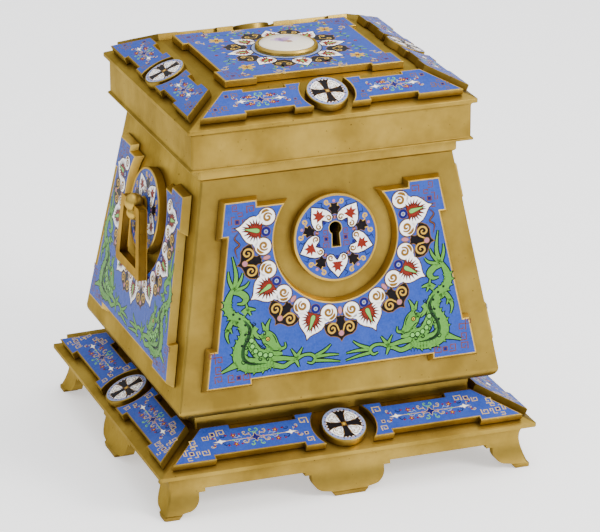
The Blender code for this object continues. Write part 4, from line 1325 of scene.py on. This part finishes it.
def make_post(side):
    """Turned ball and bead that carry a handle's pin, on a stem with a rose."""
    face = body_face(side)
    pin = pin_place(face)
    foot_up = (pin - face.origin).dot(face.up)
    low = ROUNDEL_T + GAP
    rose = [(0, low), (POST_ROSE_R, low), (POST_ROSE_R, low + POST_ROSE_T / 2),
            (POST_ROSE_R - POST_ROSE_T, low + POST_ROSE_T), (0, low + POST_ROSE_T)]
    post = new_object("turned_post_" + side, mesh_from(turned(rose, 56, face.matrix(0, foot_up)), "post"))
    gap = POST_BALL_RISE + POST_BEAD_DROP
    fall = (POST_BALL_R ** 2 - POST_BEAD_R ** 2 + gap ** 2) / (2 * gap)
    ball_end = math.asin(-fall / POST_BALL_R)
    bead_start = math.asin((gap - fall) / POST_BEAD_R)
    profile = arc(0, POST_BALL_RISE, POST_BALL_R, math.pi / 2, ball_end, 24)
    profile += arc(0, -POST_BEAD_DROP, POST_BEAD_R, bead_start, -math.pi / 2, 16)[1:]
    profile[0] = (0, profile[0][1])
    profile[-1] = (0, profile[-1][1])
    finial = new_object("finial", mesh_from(turned(profile, 48, Matrix.Translation(pin)), "finial"))
    stem = rod("stem", face.point(0, foot_up, low + POST_ROSE_T / 2), pin, POST_STEM_R)
    combine(post, [finial, stem], "UNION")
    reach = Vector((0, POST_BALL_R + CUT_PAST, 0))
    combine(post, [rod("bore", pin - reach, pin + reach, PIN_BORE_R)])
    return gild(post, "handle_post_" + side, GILT_PAINTED_HIGHLIGHT, 0.12, 35.0)


def draw_small_heart(inlay, spot, level=1):
    """White heart with a red star leaf and curled inner ends, tip outwards."""
    body = mirrored([(0.0, 1.2), (1.2, -0.2), (2.6, -2.4), (4.6, -3.0), (6.4, -1.8), (6.9, 0.6), (6.2, 3.6),
                     (4.2, 6.8), (1.8, 9.4), (0.0, 11.4)])
    draw_edged(inlay, spot, body, 0.75, "dark wire", "white", level)
    inlay.patch(spot.put(flame(0, 3.9, 5.6, 4.2, 5, 0.5)), "brick", level + 3)
    draw_curls(inlay, spot, (4.1, -0.9, 1.9, 0.5, 18), (90, 40), -1.1, 1.1, "scroll", level + 3)
    inlay.patch(spot.put([(-1.2, -2.2), (1.2, -2.2), (0, 0.2)]), "navy", level + 1)


def draw_small_bell(inlay, spot, level=1):
    """Black bell with two yellow scrolls and pink beads."""
    bell = mirrored([(0.0, -3.0), (1.6, -3.6), (2.2, -1.4), (3.8, 0.4), (2.6, 1.6), (2.0, 3.4), (0.0, 3.0)])
    draw_edged(inlay, spot, bell, 0.35, "wire", "black", level)
    draw_curls(inlay, spot, (4.8, 4.4, 1.7, 0.45, 20), (270, -60), 1.15, 1.0, "yellow", level + 2,
               [(2.2, 1.4), (2.5, 2.9)])
    inlay.patch(spot.put(circle(0, 4.8, 0.95, 14)), "pink", level + 1)
    lozenge = [(-1.8, -5.4), (0, -6.9), (1.8, -5.4), (0, -3.9)]
    inlay.patch(spot.put(lozenge), "fret", level)
    inlay.line(spot.put([(0, -6.4), (0, -4.4)]), 0.5, "pink", level + 1)


def draw_star(inlay, spot, colour, level=1, tips=8, outer=3.4, inner=1.7, edge="wire"):
    """Star with a gilt edge."""
    points = []
    for i in range(tips * 2):
        radius = outer if i % 2 == 0 else inner
        angle = math.pi * i / tips
        points.append((radius * math.cos(angle), radius * math.sin(angle)))
    draw_edged(inlay, spot, points, 0.35, edge, colour, level)


def draw_panel_ornament(inlay, hand, layout):
    """Navy star with a white spark, two blossoms and vines at each side of it."""
    star_x, star_y, reach, scale = layout
    middle = Spot(hand * star_x, star_y, 0.0, scale, hand)
    draw_star(inlay, middle, "navy", 3, 4, 3.7, 1.7, "pale gold")
    for sign in (-1, 1):
        side = Spot(middle.x, middle.y, 0.0, scale, hand * sign)
        draw_spark(inlay, side.at(reach, 0), 2)
        inlay.line(side.put([(3.6, 0), (reach - 4.6, 0)]), 0.5 * scale, "pale gold", 1)
        for tall in (-1, 1):
            draw_blossom(inlay, side.at(reach * 0.6, tall * 4.0, 0.0, 1.25), 3)
            for leaf_x, leaf_y in ((reach * 0.42, 4.4), (reach * 0.8, 4.6), (reach + 4.6, 3.4)):
                leaf = [(-0.9, 0.0), (0.2, -0.7), (1.3, 0.3), (0.0, 0.9)]
                inlay.patch(side.at(leaf_x, tall * leaf_y).put(leaf), "brick", 3)
            vines = [(3.0, 1.6, 28, 0.7, "pale gold"), (1.0, 3.0, 62, 0.55, "pale green"),
                     (9.6, 1.2, 12, 0.62, "grey"), (reach + 2.4, 1.6, 40, 0.6, "pale gold"),
                     (reach - 6.4, 4.6, -16, 0.6, "shade blue")]
            for x, y, turn, size, colour in vines:
                spot = side.at(x, tall * y)
                lean = math.radians(turn * tall) * spot.flip
                draw_tendril(inlay, Spot(spot.x, spot.y, lean, scale * size, spot.flip), colour, 0.85)
        inlay.patch(side.put(circle(5.6, 0, 0.85, 12)), "pink", 3)
        inlay.patch(side.put(circle(reach * 0.64, 0, 0.75, 10)), "pale green", 3)


SLOPES = {
    # Marks are (design, measured from the hip, x, up, scale, flip, hooks near it).
    "base": dict(
        face=base_face, band=base_band, sizes=BASE_PANEL, widest=BASE_HALF, colour="pale gold",
        layout=(58.2, 18.9, 25.0, 0.92),
        marks=[(draw_key, True, 23.0, 12.4, 0.78, -1, [(11.6, -0.6, 180, 1.0), (4.6, 10.6, 90, 1.0)]),
               (draw_stud, True, 40.2, 25.6, 0.82, -1, [(6.6, 0.6, 0, 1.0), (-6.4, -2.4, 180, 0.8)]),
               (draw_stud, False, 25.6, 16.0, 0.62, 1, []),
               (draw_hook, False, 24.6, 10.4, 0.7, 1, []),
               (draw_hook, False, 24.4, 26.4, 0.9, 1, [])]),
    "lid": dict(
        face=lid_face, band=lid_band, sizes=LID_PANEL, widest=LID_TOP_HALF, colour="wire",
        layout=(43.5, 16.4, 15.4, 0.8),
        marks=[(draw_key, True, 20.4, 11.8, 0.66, -1, [(9.8, 0.4, 90, 1.0)]),
               (draw_stud, True, 30.6, 22.4, 0.7, 1, []),
               (draw_hook, True, 36.0, 22.6, 0.66, -1, []),
               (draw_hook, False, 21.6, 9.6, 0.6, 1, []),
               (draw_stud, False, 22.0, 13.6, 0.5, 1, []),
               (draw_hook, False, 20.6, 23.4, 0.6, 1, [])]),
}


def make_panel(where, side, hand):
    """Raised gilt block on a slope, with its blue ground and its design."""
    slope = SLOPES[where]
    face = slope["face"](side)
    outline = panel_outline(face, hand, slope["band"](face), **slope["sizes"])
    word = "left" if hand < 0 else "right"
    bm = slab(face, outline, [(GAP, PANEL_BORDER), (PANEL_T, PANEL_BORDER)])
    gilt_block(f"{where}_block_{side}_{word}", bm, f"{where}_panel_{side}_{word}")
    inlay = Inlay(f"{where}_enamel_{side}_{word}", face, PANEL_T)
    inlay.patch(outward(outline, PANEL_EDGE), "blue", 0)
    less = slope["widest"] - face.half
    star_x, star_y, reach, scale = slope["layout"]
    draw_panel_ornament(inlay, hand, (star_x - less * 0.5, star_y, reach - less * 0.4, scale))
    for draw, from_hip, x, up, scale, flip, hooks in slope["marks"]:
        spot = Spot(hand * (face.half - x if from_hip else x), up, 0.0, scale, hand * flip)
        draw(inlay, spot, colour=slope["colour"])
        draw_hooks(inlay, spot, hooks, slope["colour"])
    return inlay.build()


def make_medallion(where, side):
    """Round block with a black cross on white inside a beaded border."""
    face = SLOPES[where]["face"](side)
    band = SLOPES[where]["band"](face)
    up, radius = band.centre_up, band.medallion_r
    profile = [
        (0, GAP),
        (radius, GAP),
        (radius, MEDALLION_T - MEDALLION_BEVEL),
        (radius - MEDALLION_BEVEL, MEDALLION_T),
        (0, MEDALLION_T),
    ]
    bm = turned(profile, 96, face.matrix(0, up))
    gilt_block(f"{where}_disc_{side}", bm, f"{where}_medallion_{side}", width=0.12, angle=40.0)
    inlay = Inlay(f"{where}_cross_{side}", face, MEDALLION_T)
    rim = radius - MEDALLION_RIM
    middle = Spot(0.0, up)
    draw_discs(inlay, middle, [(rim, 72, "grey", 0), (rim * 0.84, 60, "white", 2)])
    beads = 40
    for i in range(beads):
        spot = around((0, up), rim * 0.9, 360 * i / beads)
        inlay.patch(spot.put(circle(0, 0, 0.5, 8)), "pink" if i % 2 else "navy", 2)
    scale = rim / 13.7
    for i in range(4):
        arm = around((0, up), 0.0, 90 * i + 90)
        arm.scale = scale
        shape = mirrored([(0.0, 0.8), (1.4, 1.7), (1.7, 5.0), (2.1, 7.6), (3.9, 10.9), (2.1, 10.5),
                          (1.1, 11.5), (0.0, 10.2)])
        draw_edged(inlay, arm, shape, 0.35, "scroll", "black", 3)
        leaf = around((0, up), 0.0, 90 * i + 135)
        leaf.scale = scale
        petal = mirrored([(0.0, 2.6), (1.9, 4.4), (3.3, 7.2), (2.8, 9.6), (1.3, 10.6), (0.0, 9.8)])
        inlay.line(leaf.put(petal), 0.5 * scale, "scroll", 3, closed=True)
        draw_curls(inlay, leaf, (1.4, 7.6, 1.15, 0.3, 14), (270, 0), 1.0, 0.5, "scroll", 3, [(0, 4.0)])
        inlay.patch(leaf.put([(-0.6, 3.0), (0.6, 3.0), (0, 6.0)]), "grey", 3)
    draw_discs(inlay, middle, [(1.6 * scale, 18, "scroll", 5), (0.9 * scale, 16, "yellow", 6)])
    return inlay.build("root")


def top_plate_outline(shrink=0.0):
    """The plate with its four square ears."""
    half_x, half_y = TOP_PLATE_HALF, TOP_PLATE_DEPTH
    quarter = [
        (half_x - TOP_PLATE_STEP, half_y - TOP_PLATE_EAR),
        (half_x, half_y - TOP_PLATE_EAR),
        (half_x, half_y),
        (half_x - TOP_PLATE_EAR, half_y),
        (half_x - TOP_PLATE_EAR, half_y - TOP_PLATE_STEP),
    ]
    points = list(quarter)
    points += [(-x, y) for x, y in reversed(quarter)]
    points += [(-x, -y) for x, y in quarter]
    points += [(x, -y) for x, y in reversed(quarter)]
    return outward(points, -shrink)


def draw_petal(inlay, spot, kind, level=1):
    """Petal of the wreath, white with a red heart or black with a scroll."""
    if kind == "white":
        body = mirrored([(0.0, 0.0), (3.4, 0.8), (5.6, 3.4), (6.2, 6.6), (5.0, 9.8), (2.8, 12.6),
                         (0.0, 16.6)])
        draw_edged(inlay, spot, body, 0.6, "dark wire", "white", level)
        inlay.patch(spot.put(flame(0, 5.2, 9.0, 5.0, 9, 0.42)), "brick", level + 2)
        inlay.patch(spot.put(mirrored([(0.0, 4.0), (1.0, 6.0), (0.0, 11.0)])), "pale green", level + 3)
        draw_curls(inlay, spot, (3.2, 2.4, 1.7, 0.4, 16), (90, 0), 1.2, 0.8, "scroll", level + 2, ends=0.5)
    else:
        dark = mirrored([(0.0, 0.6), (3.6, 2.0), (6.4, 5.6), (7.2, 9.0), (5.4, 12.6), (2.4, 13.4),
                         (0.0, 16.0)])
        draw_edged(inlay, spot, dark, 0.5, "scroll", "black", level)
        draw_curls(inlay, spot, (3.0, 9.0, 2.1, 0.5, 18), (270, 0), 1.15, 0.8, "yellow", level + 2,
                   [(0, 4.6)])


def draw_sprig(inlay, spot, level=1):
    """Thin green spray with small buds."""
    stem = smooth_path([(0, 0), (1.6, 4.2), (-0.6, 8.6), (0.8, 12.4)])
    inlay.line(spot.put(stem), 0.5 * spot.scale, "shade green", level, ends=0.5)
    for y, sign in ((3.6, 1), (6.0, -1), (8.6, 1), (10.8, -1)):
        leaf = [(0.4, y), (sign * 2.2, y + 0.4), (sign * 3.4, y + 1.8), (sign * 1.4, y + 1.6)]
        inlay.patch(spot.put(leaf), "green", level + 1)
    inlay.patch(spot.put(circle(0.8, 13.0, 0.8, 10)), "brick", level + 1)


WHITE_PETAL_R = 22.6          # radii of the rings of designs round the setting
BLACK_PETAL_R = 24.4
LOZENGE_R = 40.6
TOP_KEY_IN = 8.4              # from the plate's edges to the middle of a corner's fret
# Sprigs (x, y, degrees, scale, flip) and vines (x, y, degrees) of one corner of the top plate.
TOP_SPRIGS = [(27.0, 38.0, -80, 1.1, -1), (30.0, 36.0, 75, 1.1, 1), (5.0, 39.5, -90, 0.9, 1)]
TOP_VINES = [(46.5, 24.0, 60), (24.0, 43.0, 150), (42.0, 38.0, 100), (13.0, 43.0, 10)]


def make_top_plate():
    """Raised plate on the lid with its wreath, and the setting in its middle."""
    level = Level(PLATE_Z)
    outline = top_plate_outline()
    bm = slab(level, outline, [(0.0, 0.0), (TOP_PLATE_T, 0.0)])
    gilt_block("top_block", bm, "top_plate", GILT_PAINTED_HIGHLIGHT)
    inlay = Inlay("top_enamel", level, TOP_PLATE_T)
    inlay.patch(top_plate_outline(PANEL_BORDER), "blue", 0)
    draw_discs(inlay, Spot(0, 0), [(TOP_RING_R + 2.8, 72, "dark wire", 8),
                                   (TOP_RING_R + 2.0, 72, "grey", 9)])
    for i in range(8):
        draw_petal(inlay, around((0, 0), WHITE_PETAL_R, 45 * i), "white", 4)
        draw_petal(inlay, around((0, 0), BLACK_PETAL_R, 45 * i + 22.5), "black", 1)
    for sx in (-1, 1):
        for sy in (-1, 1):
            flower = Spot(sx * 36.5, sy * 29.5, math.atan2(sy, sx), 1.15)
            draw_star(inlay, flower, "black", 1, 6, 3.4, 1.8)
            for i in range(6):
                petal = flower.at(0, 0, math.tau * i / 6)
                shape = [(0.8, 0.0), (2.2, 1.2), (4.4, 0.9), (4.4, -0.9), (2.2, -1.2)]
                inlay.patch(petal.put(shape), "yellow", 3)
            inlay.patch(flower.put(circle(0, 0, 0.9, 10)), "brick", 4)
            draw_sprig(inlay, Spot(sx * 43.0, sy * 5.0, 0.0 if sy > 0 else math.pi, 1.2, sx), 1)
            for x, y, turn, scale, flip in TOP_SPRIGS:
                draw_sprig(inlay, Spot(sx * x, sy * y, math.radians(turn * sx * sy), scale, flip * sx), 1)
            for x, y, turn in TOP_VINES:
                vine = Spot(sx * x, sy * y, math.radians(turn * sx * sy), 0.9, sx)
                draw_tendril(inlay, vine, "pale gold", 0.9)
            corner_x, corner_y = sx * (TOP_PLATE_HALF - TOP_KEY_IN), sy * (TOP_PLATE_DEPTH - TOP_KEY_IN)
            corner = Spot(corner_x, corner_y, 0.0 if sy < 0 else math.pi, 0.8, sx * sy)
            draw_key(inlay, corner)
            draw_hooks(inlay, corner, [(10.6, -1.6, 0, 1.0), (-1.4, 10.6, 90, 1.0)])
        inlay.patch(circle(sx * 46.4, 0, 1.3, 12), "brick", 1)
    for i in range(32):
        spot = around((0, 0), LOZENGE_R, 11.25 * i + 5.6)
        if abs(spot.y) < TOP_PLATE_DEPTH - 4:
            lozenge = [(-0.8, 0.0), (0.0, -1.6), (0.8, 0.0), (0.0, 1.6)]
            inlay.patch(spot.put(lozenge), "yellow" if i % 2 else "brick", 2)
    inlay.build()

    inner = TOP_RING_R - TOP_RING_W
    place = Matrix.Translation((0, 0, RING_Z))
    profile = [(0, 0.0), (TOP_RING_R, 0.0), (TOP_RING_R, TOP_RING_T * 0.6),
               (TOP_RING_R - TOP_RING_W * 0.35, TOP_RING_T), (inner, TOP_RING_T),
               (inner, TOP_RING_FLOOR), (0, TOP_RING_FLOOR)]
    gilt_block("top_setting", turned(profile, 128, place), "top_medallion_ring", GILT_PAINTED_HIGHLIGHT, 0.15, 20.0)


# Painted patches of the plaque: middle, radius and screen colour.
BLOOMS = [((-5.0, 2.5), 3.2, (172, 124, 184)), ((-2.0, 0.0), 3.6, (116, 66, 142)),
          ((1.5, 2.2), 3.4, (176, 132, 190)), ((4.2, -1.0), 3.0, (224, 206, 224)),
          ((0.0, -3.6), 2.4, (150, 100, 62)), ((-8.0, 3.4), 1.8, (206, 170, 200)),
          ((7.6, 2.0), 2.2, (232, 220, 226)), ((3.0, 5.2), 2.0, (206, 186, 214))]
BLOOM_RISE = 5.0              # height of their middles over the setting's underside
PLAQUE_STEPS = 24


def plaque_material():
    """Cream enamel dome with a loose spray painted in lilac and violet."""
    made, nodes, shader = new_material("painted cream enamel")
    where = nodes.add("ShaderNodeTexCoord").outputs["Object"]
    fired = nodes.place(ENAMEL, Tint=srgb(236, 226, 200), Cloud=0.3)
    colour = fired.outputs["Color"]
    wobble = nodes.noise(where, 260.0, 3.0, 0.6)
    for (x, y), radius, tint in BLOOMS:
        away = nodes.add("ShaderNodeVectorMath", operation="DISTANCE")
        away.inputs[1].default_value = (x * MM, y * MM, (RING_Z + BLOOM_RISE) * MM)
        nodes.join(where, away.inputs[0])
        reach = nodes.maths("ADD", away.outputs["Value"], nodes.span(wobble, 0.3, 0.7, -0.0012, 0.0012))
        share = nodes.span(reach, radius * 0.75 * MM, radius * 1.2 * MM, 1.0, 0.0)
        colour = nodes.mix(share, colour, srgb(*tint))
    nodes.join(colour, shader.inputs["Base Color"])
    nodes.fill(shader, PLAQUE_GLOSS)
    return made


def make_plaque():
    """Domed plaque in the setting."""
    radius = TOP_RING_R - TOP_RING_W - GAP
    profile = [(0, 0.0), (radius, 0.0)]
    for i in range(PLAQUE_STEPS):
        angle = math.pi / 2 * i / PLAQUE_STEPS
        profile.append((radius * math.cos(angle), PLAQUE_EDGE + PLAQUE_RISE * math.sin(angle)))
    profile.append((0, PLAQUE_EDGE + PLAQUE_RISE))
    place = Matrix.Translation((0, 0, RING_Z + TOP_RING_FLOOR + GAP))
    made = new_object("painted_plaque", mesh_from(turned(profile, 128, place), "plaque"))
    made.data.materials.append(plaque_material())
    made.data.shade_smooth()
    return finish_object(made, "root", ["top_plaque"])


def dress_kept_nodes():
    """Materials for the solids whose own shape shows."""
    for name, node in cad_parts.items():
        node.data.materials.clear()
        node.data.materials.append(GILT_HANDLE if name.startswith("handle") else GILT)


# The camera stands where the photograph's perspective puts it.
PICTURE_W = 600
FOCAL_PX = 3445.0
VIEW_AZIMUTH = math.radians(-19.94)
VIEW_ELEVATION = math.radians(20.70)
VIEW_ROLL = math.radians(-0.19)
VIEW_DISTANCE = 17.71 * BASE_HALF * MM
VIEW_LEFT = -0.065 * BASE_HALF * MM
VIEW_DOWN = 0.100 * BASE_HALF * MM
SENSOR = 36.0
NEAREST = 0.05
FARTHEST = 60.0


def make_camera():
    """Camera at the photograph's place, turned and shifted as the photograph is."""
    cos_a, sin_a = math.cos(VIEW_AZIMUTH), math.sin(VIEW_AZIMUTH)
    cos_e, sin_e = math.cos(VIEW_ELEVATION), math.sin(VIEW_ELEVATION)
    back = Vector((sin_a * cos_e, -cos_a * cos_e, sin_e))
    right = (-back).cross(Vector((0, 0, 1))).normalized()
    up = right.cross(-back)
    cos_r, sin_r = math.cos(VIEW_ROLL), math.sin(VIEW_ROLL)
    right, up = right * cos_r + up * sin_r, up * cos_r - right * sin_r
    data = bpy.data.cameras.new("camera")
    data.sensor_width = SENSOR
    data.lens = FOCAL_PX * SENSOR / PICTURE_W
    data.clip_start = NEAREST
    data.clip_end = FARTHEST
    camera = bpy.data.objects.new("camera", data)
    bpy.context.scene.collection.objects.link(camera)
    spot = Vector((0, 0, BASE_HALF * MM)) + back * VIEW_DISTANCE - right * VIEW_LEFT - up * VIEW_DOWN
    turn = Matrix((right, up, back)).transposed().to_4x4()
    camera.matrix_world = Matrix.Translation(spot) @ turn
    bpy.context.scene.camera = camera


# Lengths in metres.
FLOOR_REACH = 6.0
FLOOR_LOOK = {"Base Color": (0.92, 0.92, 0.92, 1), "Roughness": 0.8, "Emission Color": (1, 1, 1, 1),
              "Emission Strength": 0.7}
SKY_COLOUR = (0.96, 0.97, 1.0, 1)
SKY_LOW = 0.15                # brightness near the horizon and overhead
SKY_HIGH = 1.5
SKY_FROM, SKY_TO = 0.12, 0.42
LIGHT_AIM = (0, 0, 0.12)
LIGHTS = [                    # name, place, size, power, tint
    ("overhead", (0.3, -0.1, 1.7), (1.4, 1.4), 18.0, (1.0, 0.98, 0.95)),
    ("front_right", (1.1, -1.3, 1.05), (0.7, 0.7), 34.0, (1.0, 0.97, 0.93)),
    ("left_fill", (-1.9, -0.5, 0.6), (1.0, 1.2), 1.0, (0.95, 0.97, 1.0)),
]


def soft_light(name, spot, size, power, tint):
    """Rectangular light that points at the casket."""
    data = bpy.data.lights.new(name, "AREA")
    data.shape = "RECTANGLE"
    data.size, data.size_y = size
    data.energy = power
    data.color = tint
    made = bpy.data.objects.new(name, data)
    made.location = spot
    made.rotation_mode = "QUATERNION"
    made.rotation_quaternion = (Vector(LIGHT_AIM) - Vector(spot)).to_track_quat("-Z", "Y")
    bpy.context.scene.collection.objects.link(made)


def make_studio():
    """Pale floor, a sky that is brighter overhead, and soft lights."""
    mesh = bpy.data.meshes.new("floor")
    corners = [(x * FLOOR_REACH, y * FLOOR_REACH, 0) for x, y in ((-1, -1), (1, -1), (1, 1), (-1, 1))]
    mesh.from_pydata(corners, [], [(0, 1, 2, 3)])
    floor = new_object("floor", mesh)
    look, nodes, shader = new_material("pale floor")
    nodes.fill(shader, FLOOR_LOOK)
    mesh.materials.append(look)
    world = bpy.data.worlds.new("studio")
    world.use_nodes = True
    sky = Shader(world.node_tree)
    high = sky.add("ShaderNodeSeparateXYZ")
    sky.join(sky.add("ShaderNodeTexCoord").outputs["Generated"], high.inputs["Vector"])
    strength = sky.span(high.outputs["Z"], SKY_FROM, SKY_TO, SKY_LOW, SKY_HIGH)
    sky.fill(world.node_tree.nodes["Background"], {"Color": SKY_COLOUR, "Strength": strength})
    bpy.context.scene.world = world
    for row in LIGHTS:
        soft_light(*row)


make_camera()
make_studio()
dress_kept_nodes()
make_base()
make_body()
make_lid()
for side in SIDES:
    make_field_block(side)
    make_field_work(side)
    make_roundel(side)
    for hand in (-1, 1):
        make_panel("base", side, hand)
        make_panel("lid", side, hand)
    make_medallion("base", side)
    make_medallion("lid", side)
for side in ("left", "right"):
    make_post(side)
make_top_plate()
make_plaque()
